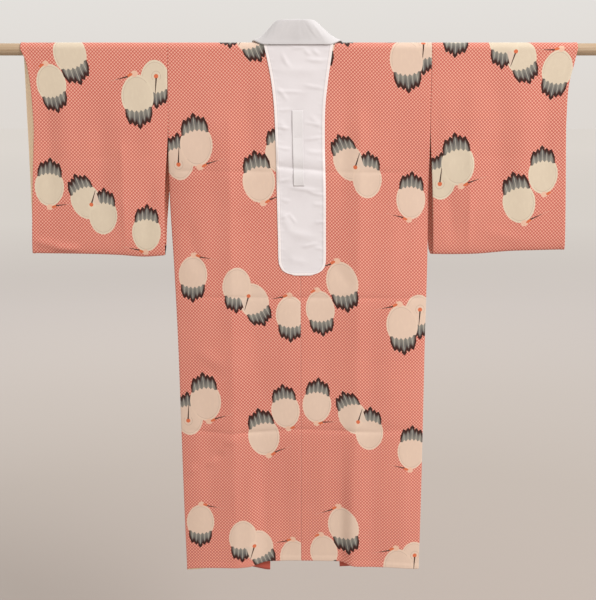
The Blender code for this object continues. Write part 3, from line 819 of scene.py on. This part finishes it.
def band_wrinkle(side, stage, width):
    """Slight unevenness of the collar band along its length."""
    wave = np.sin(stage * 23.0 + side) * 0.4 + np.sin(stage * 61.0 + 2.0 * side) * 0.35
    pull = np.sin(stage * 140.0 + width * 160.0) * 0.18
    return 0.0004 * (wave + pull) * np.sin(np.clip(width / COLLAR_WIDTH, 0.0, 1.0) * math.pi)


def round_edge(side, stages, steps, radius):
    """Half turn round the collar's free edge, from outside to inside."""
    turn = np.linspace(0.0, math.pi, steps)[1:-1]
    middle = np.full((1, 1), COLLAR_WIDTH - BAND_THICK / 2)
    edge, normal, across = collar_frame(side, stages, middle)
    return edge, turn, edge + (
        normal * np.cos(turn)[None, :, None] + across * np.sin(turn)[None, :, None]
    ) * radius


def lengths_along(points):
    """Distance of each point from the first one along their line."""
    steps = np.linalg.norm(np.diff(points, axis=0), axis=-1)
    return np.concatenate(([0.0], np.cumsum(steps)))


def collar_band(side):
    """Half of the double collar band: printed outside, plain inside, round free edge."""
    stages = collar_stages(3.0, BODY_LENGTH)[:, None]
    half = BAND_THICK / 2
    flat = np.concatenate(([0.0006, 0.002, 0.004], np.linspace(0.007, 0.047, 10), [0.0505, 0.0525]))
    body_part = smooth(0.0, 0.0035, flat) * 0.55 + 0.45
    outer, normal, _ = collar_frame(side, stages, flat[None, :])
    wrinkle = band_wrinkle(side, stages, flat[None, :])
    lift, sink = half * body_part + wrinkle, half * body_part - wrinkle
    edge, turn, turned = round_edge(side, stages, 7, half)
    front = outer + normal * lift[..., None]
    inner = outer[:, ::-1] - normal[:, ::-1] * sink[:, ::-1, None]
    points = np.concatenate((front, turned, inner), axis=1)
    points[0, :, 0] = side * SEAM / 2
    rows, count = points.shape[:2]
    number = numbered(rows, count)
    corners = grid_corners(np.concatenate((number, number[:, :1]), axis=1))
    place = np.arange(count)
    outside = np.tile((place < len(flat) + 3) | (place > count - 3), rows - 1)
    spread = np.concatenate((flat, COLLAR_WIDTH + half * np.sin(turn), flat[::-1]))
    across, down = COLLAR_PRINT[side]
    down = down + lengths_along(edge[:, 0])[:, None]
    chart = packed(across - side * spread[None, :], down).reshape(-1, 2)
    index = np.arange(count // 2 - 1)
    cap = packed(index, count - 1 - index, count - 2 - index, index + 1)
    corners = np.concatenate((corners.reshape(-1, 4), number[0][cap], number[-1][cap[:, ::-1]]))
    if side < 0:
        corners = corners[:, ::-1]
    inside = np.concatenate((~outside, np.ones(2 * len(cap), dtype=bool)))
    return points, corners, chart[corners], inside


def cover_cloth():
    """White cloth folded over the collar's free edge, both ways from the centre back."""
    first_rows = (-0.0013, -0.0010, 0.0010, 0.0025, 0.0045)
    outer_flat = np.concatenate((first_rows, np.linspace(0.008, 0.0525, 12)))[None, :]
    inner_flat = np.concatenate((np.linspace(0.0525, COVER_INSIDE + 0.004, 6), [COVER_INSIDE]))
    stages = collar_stages(2.0 + COVER_DEPTH / BODY_LENGTH, COVER_DEPTH)[:, None]
    corner = between(0.90, 1.15, 1.45, 1.85, stages)
    flat = outer_flat - COVER_CORNER * corner * (1.0 - smooth(0.0, 0.012, outer_flat))
    sides = []
    for side in (-1, 1):
        outer, normal, _ = collar_frame(side, stages, flat)
        lift = COVER_OUT + np.maximum(band_wrinkle(side, stages, flat), 0.0) * 2.0
        lift = lift + cover_rise(stages, flat)
        lift[:, 0] -= COVER_UNDER * corner[:, 0]
        _, _, turned = round_edge(side, stages, 9, COVER_OUT)
        inner, inner_normal, _ = collar_frame(side, stages, inner_flat[None, :])
        sides.append(np.concatenate((
            outer + normal * lift[..., None], turned, inner - inner_normal * COVER_OUT,
        ), axis=1))
    left, right = sides
    return np.concatenate((left[:0:-1], right))


def cover_rise(stage, width):
    """Turned seam edge and the small pulls of the white cover."""
    turned = 0.00035 * (1.0 - smooth(0.004, 0.0065, width))
    near_fold = bell((stage - 1.15) / 0.22)
    pulls = np.maximum(np.sin(stage * 46.0 - width * 190.0), 0.0) * 0.0009 * near_fold
    return turned + pulls * np.sin(np.clip(width / COLLAR_WIDTH, 0.0, 1.0) * math.pi)


def strip_base(x, depth, out):
    """Points of the strip over the body's back, moved out from it."""
    sample = 0.002
    across = back_point(x + sample, depth) - back_point(x - sample, depth)
    up = back_point(x, depth - sample) - back_point(x, depth + sample)
    normal = np.cross(across, up)
    normal = normal / np.linalg.norm(normal, axis=-1, keepdims=True)
    return back_point(x, depth) + normal * out[..., None]


def strip_cloth():
    """White strip that hangs from the collar seam, with its bound edge and creases."""
    length = STRIP_BOTTOM - STRIP_TOP
    down = spaced(length, STRIP_STEP, first=(0.001,), last=STRIP_END_STEPS)
    shares = spaced(0.12, STRIP_STEP, first=STRIP_SIDE_STEPS, last=STRIP_SIDE_STEPS)
    depths = (STRIP_TOP + length * down)[:, None]
    depth = depths + 0.0 * shares[None, :]
    x = mix(along(STRIP_EDGES, depths, 1), along(STRIP_EDGES, depths, 2), shares[None, :])
    return strip_base(x, depth, strip_out(x, depth)), x, depth


def strip_edge(x, depth):
    """Distance from the strip's free edges."""
    aside = np.minimum(x - along(STRIP_EDGES, depth, 1), along(STRIP_EDGES, depth, 2) - x)
    return np.minimum(np.maximum(aside, 0.0), (STRIP_BOTTOM - depth) * 1.1)


def strip_out(x, depth):
    """How far the strip stands out from the body's back."""
    body = RELIEF * lines_rise(SOFT_FOLDS["back"], x, depth) * smooth(0.005, 0.060, depth)
    edge = strip_edge(x, depth)
    inward = smooth(0.0, 0.006, edge)
    binding = 1.0 - smooth(STRIP_BINDING - 0.0012, STRIP_BINDING + 0.0008, edge)
    turns = depth / PUCKER_PITCH
    pucker = np.sin(turns * 2 * math.pi) * 0.5 + np.sin(turns * 3.3 + 1.0) * 0.5
    near_binding = bell((edge - STRIP_BINDING - 0.003) / 0.0055)
    puckers = near_binding * np.maximum(pucker, 0.0) * PUCKER_RISE
    (x1, depth1), (x2, depth2) = STRIP_BREAK
    past = depth - mix(depth1, depth2, np.clip((x - x1) / (x2 - x1), 0.0, 1.0))
    above = np.clip(1.0 + past / STRIP_BREAK_ABOVE, 0.0, 1.0) ** 2
    slopes = np.where(past < 0, above, np.exp(-np.maximum(past, 0.0) / STRIP_BREAK_BELOW))
    breaking = STRIP_BREAK_RISE * (bell(past / STRIP_BREAK_SPREAD) - slopes) * inward
    out = STRIP_OUT + np.maximum(body, 0.0)
    out = out + STRIP_RELIEF * lines_rise(STRIP_FOLDS, x, depth) * inward
    return out + BINDING_RISE * binding + puckers + breaking


def tape_cloth():
    """White tape stitched across the strip so that it stands out in loops."""
    shares = np.array((0.0, 0.06, 0.2, 0.4, 0.6, 0.8, 0.94, 1.0))
    curl = TAPE_CURL * (2.0 * shares - 1.0) ** 2
    rows, places = [], []
    for number, (upper, lower) in enumerate(zip(TAPE_STITCHES, TAPE_STITCHES[1:]), 2):
        span = lower[0] - upper[0]
        steps = round(span / TAPE_STEP)
        for step in range(steps + (number == len(TAPE_STITCHES))):
            part = step / steps
            depth, left, right, _ = mix(upper, lower, part)
            x, depth = mix(left, right, shares), np.full(len(shares), depth)
            out = strip_out(x, depth) + TAPE_OUT - STRIP_OUT
            out = out + upper[3] * math.sin(math.pi * part) + curl
            press = min(part, 1.0 - part) * span
            out = out - TAPE_PRESS * math.exp(-press / 0.003)
            rows.append(strip_base(x, depth, out))
            places.append(packed(x, depth))
    return np.array(rows), np.array(places)


def coloured(red, green, blue):
    """Linear colour from 0-255 values as seen on a screen."""
    def linear(value):
        value = value / 255.0
        return value / 12.92 if value <= 0.04045 else ((value + 0.055) / 1.055) ** 2.4

    return (linear(red), linear(green), linear(blue), 1.0)


def feed(tree, slot, value):
    """Links a worked-out value to a node's input, or sets the input to a plain one."""
    value = getattr(value, "socket", value)
    if isinstance(value, bpy.types.NodeSocket):
        tree.links.new(value, slot)
    else:
        slot.default_value = value


def add(tree, kind, inputs=(), **settings):
    """New shader node with its settings, and its inputs by name or number."""
    made = tree.nodes.new("ShaderNode" + kind)
    for name, value in settings.items():
        setattr(made, name, value)
    for slot, value in dict(inputs).items():
        feed(tree, made.inputs[slot], value)
    return made


class Term:
    """A number that shader nodes work out, used with ordinary arithmetic."""

    def __init__(self, tree, socket):
        self.tree, self.socket = tree, socket

    def node(self, kind, *others):
        made = add(self.tree, "Math", enumerate((self, *others)), operation=kind)
        return Term(self.tree, made.outputs[0])

    __add__ = __radd__ = partialmethod(node, "ADD")
    __sub__ = partialmethod(node, "SUBTRACT")
    __mul__ = __rmul__ = partialmethod(node, "MULTIPLY")
    __truediv__ = partialmethod(node, "DIVIDE")
    __gt__ = partialmethod(node, "GREATER_THAN")
    __lt__ = partialmethod(node, "LESS_THAN")
    __abs__ = partialmethod(node, "ABSOLUTE")
    most = partialmethod(node, "MAXIMUM")
    least = partialmethod(node, "MINIMUM")

    def __rsub__(self, other):
        return self.node("MULTIPLY", -1.0).node("ADD", other)

    def eased(self, low, high):
        """0 at low, 1 at high, eased between."""
        inputs = {"Value": self, "From Min": low, "From Max": high}
        made = add(self.tree, "MapRange", inputs, interpolation_type="SMOOTHSTEP")
        return Term(self.tree, made.outputs["Result"])


def painted(tree, amount, under, over):
    """Colour: over laid on under, by an amount from 0 to 1."""
    inputs = {"Factor": amount, 6: under, 7: over}
    return add(tree, "Mix", inputs, data_type="RGBA").outputs[2]


def layered(tree, colour, *layers):
    """Colour under several (amount, colour over it) layers."""
    return reduce(lambda under, layer: painted(tree, layer[0], under, layer[1]), layers, colour)


def split(tree, vector, scale=1.0):
    parts = add(tree, "SeparateXYZ", {0: vector}).outputs
    return Term(tree, parts[0]) * scale, Term(tree, parts[1]) * scale


def joined(tree, *parts):
    return add(tree, "CombineXYZ", enumerate(parts)).outputs[0]


def noise(tree, vector, scale, detail=2.0):
    inputs = {"Vector": vector, "Scale": scale, "Detail": detail}
    return Term(tree, add(tree, "TexNoise", inputs).outputs["Fac"])


def uv_of(tree, layer):
    return add(tree, "UVMap", uv_map=layer).outputs[0]


def oval(u, v, centre_u, centre_v, radius_u, radius_v, tilt=0.0):
    """Squared distance from an oval's centre, 1 on its edge."""
    off_u, off_v = u - centre_u, v - centre_v
    if tilt:
        cosine, sine = math.cos(math.radians(tilt)), math.sin(math.radians(tilt))
        off_u, off_v = off_u * cosine + off_v * sine, off_v * cosine - off_u * sine
    off_u, off_v = off_u / radius_u, off_v / radius_v
    return off_u * off_u + off_v * off_v


def spike(u, v, start, end, wide, thin):
    """1 inside a straight tapering stroke."""
    length = math.hypot(end[0] - start[0], end[1] - start[1])
    run_u, run_v = (end[0] - start[0]) / length, (end[1] - start[1]) / length
    reach = (u - start[0]) * run_u + (v - start[1]) * run_v
    off = abs((u - start[0]) * run_v - (v - start[1]) * run_u)
    width = wide - reach * ((wide - thin) / length)
    return (reach > 0.0) * (reach < length) * (off < width)


CRANE_INK = {
    "nub": (214, 175, 152),
    "spot": (200, 104, 68),
    "beak": (72, 50, 41),
    "line": (148, 125, 112),
    "tip": (54, 25, 19),
    "feather": (98, 95, 92),
    "feather_root": (134, 131, 122),
    "shaft": (184, 175, 161),
    "wedge": (203, 182, 165),
}
FEATHER_PITCH = 10.2


def crane_drawing(name, cream, rim):
    """Node group: a round crane with its dark fan of tail feathers, in millimetres."""
    tree = bpy.data.node_groups.new(name, "ShaderNodeTree")
    for title, way, kind in (
        ("Place", "INPUT", "Vector"), ("Color", "OUTPUT", "Color"), ("Cover", "OUTPUT", "Float"),
    ):
        tree.interface.new_socket(title, in_out=way, socket_type="NodeSocket" + kind)
    entry, leave = tree.nodes.new("NodeGroupInput"), tree.nodes.new("NodeGroupOutput")
    ink = {part: coloured(*shade) for part, shade in CRANE_INK.items()}
    cream, rim = coloured(*cream), coloured(*rim)

    raw_u, raw_v = split(tree, entry.outputs[0])
    kind = raw_u.node("ROUND")
    here = raw_v < 0.2
    u, v = (raw_u - kind) * 1000.0, raw_v * 1000.0

    def is_kind(number):
        return kind.node("COMPARE", float(number), 0.5)

    def inside(*shape):
        return oval(u, v, *shape) < 1.0

    body_u, body_v = u / (v * 0.0408 + 34.0), v / 43.0
    round_body = body_u * body_u + body_v * body_v
    brush = noise(tree, joined(tree, u * 0.05, v * 0.02, kind), 3.0, 3.0)
    outline = (abs(round_body - 0.77) < 0.022) * (v < 14.0) * (u > -22.0)
    body = layered(
        tree, cream, (round_body.eased(0.74, 0.86) * 0.6, rim),
        (brush.eased(0.45, 0.75) * 0.5, rim), (outline * 0.45, ink["line"]),
    )

    fan = u / (v * 0.0045 + 0.80)
    feather = (fan / FEATHER_PITCH).node("ROUND").most(-2.0).least(2.0)
    across = (fan - feather * FEATHER_PITCH) / (FEATHER_PITCH / 2)
    aside = abs(across)
    alternate = abs(feather).node("MODULO", 2.0)
    outward = across * feather * 0.5
    top = 69.0 - feather * feather * 2.9 - alternate * 4.4 - aside * 6.6 - outward * 4.0
    border = (34.5 - u * u * 0.011 - aside * 5.0).most(24.5)
    side = 28.5 - (v - 40.0).most(0.0) * 0.25
    wedge_left = (v - 27.0) * 0.27 - 29.0
    wedge_right = (v - 27.0) * -0.33 - 8.0
    wedged = is_kind(WEDGED)
    wedge = wedged * (u > wedge_left) * (u < wedge_right) * (v > 27.0) * (v < 62.0)
    clear_of_wedge = 1.0 - wedged * (u < wedge_right)
    tail = (abs(u) < side) * (v > border) * (v < top) * clear_of_wedge
    streak = noise(tree, joined(tree, u * 0.5, v * 0.04, kind), 1.0, 2.0)
    plume = layered(
        tree, ink["feather_root"], (v.eased(28.0, 50.0), ink["feather"]),
        ((aside > 0.84) * 0.35, ink["tip"]),
        ((aside < 0.12) * (v < top - 9.0) * 0.75, ink["shaft"]),
        (((v - top) + streak * 8.0).eased(-11.0, -1.5), ink["tip"]),
        (abs(u).eased(22.0, 28.5) * 0.75, ink["tip"]),
    )

    plain, folded = is_kind(UPRIGHT), is_kind(FOLDED)
    faced = plain.most(is_kind(SHORT))
    nub = faced * inside(2.0, -45.0, 7.5, 6.5)
    cap = faced * inside(12.0, -43.0, 6.5, 3.0, 20.0)
    beak = plain * spike(u, v, (16.0, -40.5), (40.7, -36.6), 1.7, 0.4)
    trail = plain * spike(u, v, (40.0, -36.7), (57.0, -34.0), 0.5, 0.3)
    ring = folded * (abs(oval(u, v, -3.0, -6.0, 10.5, 11.5) - 1.0) < 0.10) * (v < 2.0)
    crown = folded * inside(-3.0, -6.0, 5.2, 5.2)
    bill = folded * spike(u, v, (-3.0, -2.0), (2.0, 37.0), 1.9, 0.5)
    head = wedged * inside(-27.0, 24.0, 9.5, 9.5)
    mark = wedged * inside(-29.0, 27.0, 4.8, 4.8)
    point = wedged * spike(u, v, (-28.0, 31.0), (-20.0, 61.0), 1.8, 0.5)
    colour = layered(
        tree, body, (wedge, ink["wedge"]), (tail, plume), (nub, ink["nub"]),
        (ring * 0.5, ink["line"]), (head * 0.7, rim),
        (cap.most(crown).most(mark), ink["spot"]),
        (beak.most(bill).most(point), ink["beak"]), (trail * 0.35, ink["line"]),
    )
    parts = round_body < 1.0, tail, nub, cap, beak, head, point, wedge, trail * 0.4
    cover = reduce(Term.most, parts)
    feed(tree, leave.inputs[0], colour)
    feed(tree, leave.inputs[1], cover * here)
    return tree


DOT_PITCH = (0.0079, 0.0080)
GROUND = (177, 73, 62)
GROUND_FADED = (184, 83, 70)
DOT = (220, 162, 143)
PITH = (199, 106, 87)
WRONG_SIDE = (255, 237, 204)
PRINT_THROUGH = 0.16
PLAIN_RED = (172, 78, 64)
# Clouding (scale, full at, share) and thread change (stretch, scale, share) of plain cloth
WHITE_CHANGE = ((14.0, 0.75, 0.6), (9.0, 240.0, 0.25))
RED_CHANGE = ((22.0, 0.70, 0.5), (8.0, 300.0, 0.3))
WEAVE_PITCH = 0.0009


def print_colour(tree, drawing):
    """Colour of the printed side: dots on orange red, with cranes laid over them."""
    across, down = split(tree, uv_of(tree, "cloth"))
    right, left = across * (1.0 / DOT_PITCH[0]), down * (1.0 / DOT_PITCH[1])
    first, second = right + left, right - left
    off_first = abs(first - first.node("ROUND"))
    off_second = abs(second - second.node("ROUND"))
    span = off_first.node("SMOOTH_MAX", off_second, 0.12)
    patches = noise(tree, joined(tree, across, down, 0.0), 5.5, 3.0)
    colour = layered(
        tree, coloured(*GROUND), (patches.eased(0.35, 0.70), coloured(*GROUND_FADED)),
        (1.0 - span.eased(0.24, 0.46), coloured(*DOT)),
        ((1.0 - span.eased(0.05, 0.12)) * 0.4, coloured(*PITH)),
    )
    for layer in ("crane_back", "crane_front"):
        made = add(tree, "Group", node_tree=drawing)
        feed(tree, made.inputs[0], uv_of(tree, layer))
        colour = painted(tree, made.outputs[1], colour, made.outputs[0])
    return colour


def plain_colour(change, shade, clouded, threaded=None, bound=None):
    """Plain cloth with faint clouding and thread to thread change, brighter where it is bound."""
    (cloud_scale, cloud_full, cloud_share), (stretch, thread_scale, thread_share) = change

    def make(tree):
        place = uv_of(tree, "cloth")
        clouds = noise(tree, place, cloud_scale, 3.0)
        across, down = split(tree, place)
        threads = noise(tree, joined(tree, across * stretch, down, 0.0), thread_scale, 1.0)
        colour = layered(
            tree, coloured(*shade),
            (clouds.eased(0.40, cloud_full) * cloud_share, coloured(*clouded)),
            (threads.eased(0.4, 0.8) * thread_share, coloured(*(threaded or clouded))),
        )
        if bound:
            edge, _ = split(tree, uv_of(tree, "edge"), 1000.0)
            seam = (abs(edge - 7.4) < 0.6) * 0.30
            layers = (1.0 - edge.eased(5.6, 6.6), coloured(*bound)), (seam, coloured(170, 160, 160))
            colour = layered(tree, colour, *layers)
        return colour
    return make


def surface(name, make, roughness, specular=0.5, sheen=0.0, bump=0.0, reach=0.0004):
    """Material from make(tree), which gives its colour and the height of its bump."""
    made = bpy.data.materials.new(name)
    made.use_nodes = True
    tree = made.node_tree
    shader = tree.nodes["Principled BSDF"].inputs
    colour, height = make(tree)
    feed(tree, shader["Base Color"], colour)
    shader["Roughness"].default_value = roughness
    shader["Specular IOR Level"].default_value = specular
    if sheen:
        shader["Sheen Weight"].default_value = sheen
        shader["Sheen Roughness"].default_value = 0.45
    if bump:
        uneven = add(tree, "Bump", {"Strength": bump, "Distance": reach, "Height": height})
        feed(tree, shader["Normal"], uneven.outputs[0])
    return made


def fabric(name, colour_maker, roughness, sheen, pitch=WEAVE_PITCH, bump=0.07):
    """Cloth material: its colour, soft sheen and a plain weave of slightly uneven threads."""
    def make(tree):
        across, down = split(tree, uv_of(tree, "cloth"), 2.0 * math.pi / pitch)
        uneven = noise(tree, uv_of(tree, "cloth"), 380.0, 2.0)
        return colour_maker(tree), across.node("SINE") * down.node("SINE") * 0.35 + uneven
    return surface(name, make, roughness, 0.25, sheen, bump)


def printed_sides(part, cream, rim):
    """Right side of the printed cloth, and its undyed wrong side where the print shows through."""
    crane = crane_drawing("crane_on_" + part, cream, rim)

    def right(tree):
        return print_colour(tree, crane)

    def wrong(tree):
        return painted(tree, PRINT_THROUGH, coloured(*WRONG_SIDE), right(tree))

    return (
        fabric("print_" + part, right, 0.82, 0.20),
        fabric("wrong_side_" + part, wrong, 0.86, 0.15),
    )


def object_place(tree):
    return add(tree, "TexCoord").outputs["Object"]


def wood_look(tree):
    """Pale smooth wood, its grain along the rod."""
    parts = add(tree, "SeparateXYZ", {0: object_place(tree)}).outputs
    x, y, z = (Term(tree, part) for part in parts)
    bend = noise(tree, joined(tree, x * 1.3, y * 9.0, z * 9.0), 2.0, 2.0)
    rings = ((y * 0.8 + z + 0.011) * 900.0 + bend * 9.0).node("SINE")
    fibre = noise(tree, joined(tree, x * 5.0, y * 260.0, z * 260.0), 3.0, 3.0)
    return layered(
        tree, coloured(178, 156, 130), (rings.eased(-0.6, 1.0) * 0.55, coloured(159, 132, 104)),
        (fibre.eased(0.45, 0.8) * 0.5, coloured(144, 117, 88)),
    ), fibre


def thread_look(tree):
    """Twisted white cotton."""
    twist = noise(tree, object_place(tree), 2500.0)
    return painted(tree, twist, coloured(202, 194, 193), coloured(186, 177, 176)), None


def hung(piece, node):
    """Ties a cloth to the body and hides the part node that it stands for."""
    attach(piece, "root")
    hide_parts(node)


def white_piece(name, points, across, down, thickness, material, edge=None):
    """White cloth from a grid of points and their places across and down it."""
    corners = grid_corners(numbered(*points.shape[:2])).reshape(-1, 4)

    def layer(*pair):
        return packed(*pair).reshape(-1, 2)[corners]

    layers = [("cloth", layer(across, down))]
    if edge is not None:
        layers.append(("edge", layer(edge, edge)))
    piece = make_mesh(name, points, corners, layers)
    thicken(piece, thickness, material)
    return piece


body_sides = printed_sides("body", (207, 182, 164), (213, 188, 168))
sleeve_sides = printed_sides("sleeve", (202, 187, 166), (208, 194, 172))
red = plain_colour(RED_CHANGE, PLAIN_RED, (182, 90, 75), (192, 102, 86))
strip_colour = plain_colour(WHITE_CHANGE, (215, 210, 212), (206, 200, 202), bound=(227, 219, 218))
cover_colour = plain_colour(WHITE_CHANGE, (197, 194, 195), (188, 185, 186))
tape_colour = plain_colour(WHITE_CHANGE, (214, 210, 211), (205, 200, 202))
plain_red = fabric("plain_red", red, 0.80, 0.20)
strip_white = fabric("white_strip", strip_colour, 0.85, 0.15)
cover_white = fabric("white_cover", cover_colour, 0.80, 0.20)
tape_white = fabric("white_tape", tape_colour, 0.85, 0.15, pitch=0.0012, bump=0.25)

for side, word in ((-1, "left"), (1, "right")):
    piece = printed("body_" + word, *body_cloth(side))
    thicken(piece, PRINT_CLOTH, *body_sides)
    hung(piece, "body_" + word)

    *sheet, hem = sleeve_cloth(side)
    piece = printed("sleeve_" + word, *sheet)
    thicken(piece, PRINT_CLOTH, *sleeve_sides)
    give_material(piece, hem, sleeve_sides[0])
    hung(piece, "sleeve_" + word)

    *sheet, inside = collar_band(side)
    piece = printed("collar_" + word, *sheet)
    piece.data.materials.append(body_sides[0])
    give_material(piece, inside, plain_red)
    hung(piece, "collar_" + word)

points = cover_cloth()
across = lengths_along(points[len(points) // 2])[None, :]
down = lengths_along(points[:, 8])[:, None]
piece = white_piece("cloth_cover", points, across, down, COVER_CLOTH, cover_white)
hung(piece, "collar_cover")

points, x, depth = strip_cloth()
edge = strip_edge(x, depth)
piece = white_piece("cloth_strip", points, x, depth, STRIP_CLOTH, strip_white, edge)
hung(piece, "neck_strip")

points, places = tape_cloth()
piece = white_piece("cloth_tape", points, places[..., 0], places[..., 1], TAPE_CLOTH, tape_white)
hung(piece, "loop_tape")

# Short hand stitches across the tape
thread = bpy.data.curves.new("stitching", "CURVE")
thread.dimensions = "3D"
thread.bevel_depth = 0.00028
thread.bevel_resolution = 1
thread.use_fill_caps = True
for depth, left, right, _ in TAPE_STITCHES:
    for x in mix(left, right, np.linspace(0.05, 0.95, 9)):
        out = float(strip_out(np.array(x), np.array(depth))) + TAPE_OUT - STRIP_OUT
        span, rise = np.array((-0.0009, 0.0, 0.0009)), np.array((-0.0001, 0.0003, -0.0001))
        line = thread.splines.new("POLY")
        line.points.add(2)
        for spot, end in zip(line.points, strip_base(x + span, np.full(3, depth), out + rise)):
            spot.co = (*end, 1.0)
thread.materials.append(surface("cotton_thread", thread_look, 0.7))
stitching = linked("stitching", thread)
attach(stitching, "root")

wood = surface("pale_wood", wood_look, 0.60, 0.30, bump=0.10, reach=0.0003)
for slot in bpy.data.objects["rod"].material_slots:
    slot.material = wood


# Painted shade of the floor, darker near the origin and lighter far off: (metres from the origin,
# red, green, blue)
FLOOR_PAINTED_SHADE = (
    (2.25, 164, 155, 149),
    (3.21, 168, 160, 154),
    (4.63, 178, 171, 166),
    (7.53, 196, 190, 187),
    (15.4, 216, 212, 208),
    (58.0, 224, 220, 216),
)
FLOOR_POWER = 0.35
FLOOR_NEAR = 1.30
FLOOR_SPAN = 2.90
FLOOR_LEVEL = -1.9
FLOOR_REACH = 200
LAMP_TARGET = (0.0, 0.0, -0.40)
LAMP_TINT = (1.0, 0.99, 0.98)
# (name, place, width, power)
LAMPS = (("key", (4.2, -4.2, 4.0), 3.0, 430.0), ("fill", (-0.8, 5.0, 3.5), 2.5, 120.0))
CAMERA_PLACE = (-0.0023, -2.3795, -0.1608)
CAMERA_TARGET = (-0.0023, -0.0140, -0.5865)


def floor_look(tree):
    """Pale floor with painted shade: darker near the origin and brightening with distance, as the
    photograph's ground does.
    """
    away = add(tree, "VectorMath", {0: object_place(tree)}, operation="LENGTH")
    far = Term(tree, away.outputs["Value"]).node("POWER", FLOOR_POWER)
    share = (far - FLOOR_NEAR) / FLOOR_SPAN
    # The ramp paints shade on the floor: darker near the origin, lighter far off.
    painted_floor_shade = add(tree, "ValToRGB", {0: share})
    stops = painted_floor_shade.color_ramp.elements
    stops.remove(stops[-1])
    for number, (distance, *shade) in enumerate(FLOOR_PAINTED_SHADE):
        place = (distance ** FLOOR_POWER - FLOOR_NEAR) / FLOOR_SPAN
        stop = stops.new(place) if number else stops[0]
        stop.position = place
        stop.color = coloured(*shade)
    mottle = noise(tree, object_place(tree), 0.8, 2.0) * 0.02
    return painted(tree, mottle, painted_floor_shade.outputs[0], coloured(180, 170, 162)), None


mesh = bpy.data.meshes.new("floor")
ground = [(x, y, FLOOR_LEVEL) for x, y in ((-1, -1), (1, -1), (1, 1), (-1, 1))]
ground = [(x * FLOOR_REACH, y * FLOOR_REACH, z) for x, y, z in ground]
mesh.from_pydata(ground, [], [(0, 1, 2, 3)])
mesh.materials.append(surface("pale_floor", floor_look, 1.0, 0.0))
linked("floor", mesh)

world = bpy.data.worlds.new("studio")
bpy.context.scene.world = world
world.use_nodes = True
tree = world.node_tree
sky = add(tree, "SeparateXYZ", {0: add(tree, "TexCoord").outputs["Generated"]})
height = Term(tree, sky.outputs[2])
colour = layered(
    tree, coloured(222, 216, 210), (height.eased(-0.02, 0.16), coloured(229, 226, 222)),
    (height.eased(0.30, 0.75), coloured(260, 257, 253)),
)
feed(tree, tree.nodes["Background"].inputs["Color"], colour)

for name, place, width, power in LAMPS:
    light = bpy.data.lights.new(name, "AREA")
    light.shape = "DISK"
    light.size, light.energy, light.color = width, power, LAMP_TINT
    aimed(name, light, place, LAMP_TARGET)

# The photograph's view: from the garment's middle, looking down a little
lens = bpy.data.cameras.new("camera")
lens.lens = 60.0
lens.sensor_width = lens.sensor_height = 36.0
lens.sensor_fit = "VERTICAL"
lens.clip_end = 1000.0
bpy.context.scene.camera = aimed("camera", lens, CAMERA_PLACE, CAMERA_TARGET)
bpy.context.scene.view_settings.view_transform = "Standard"
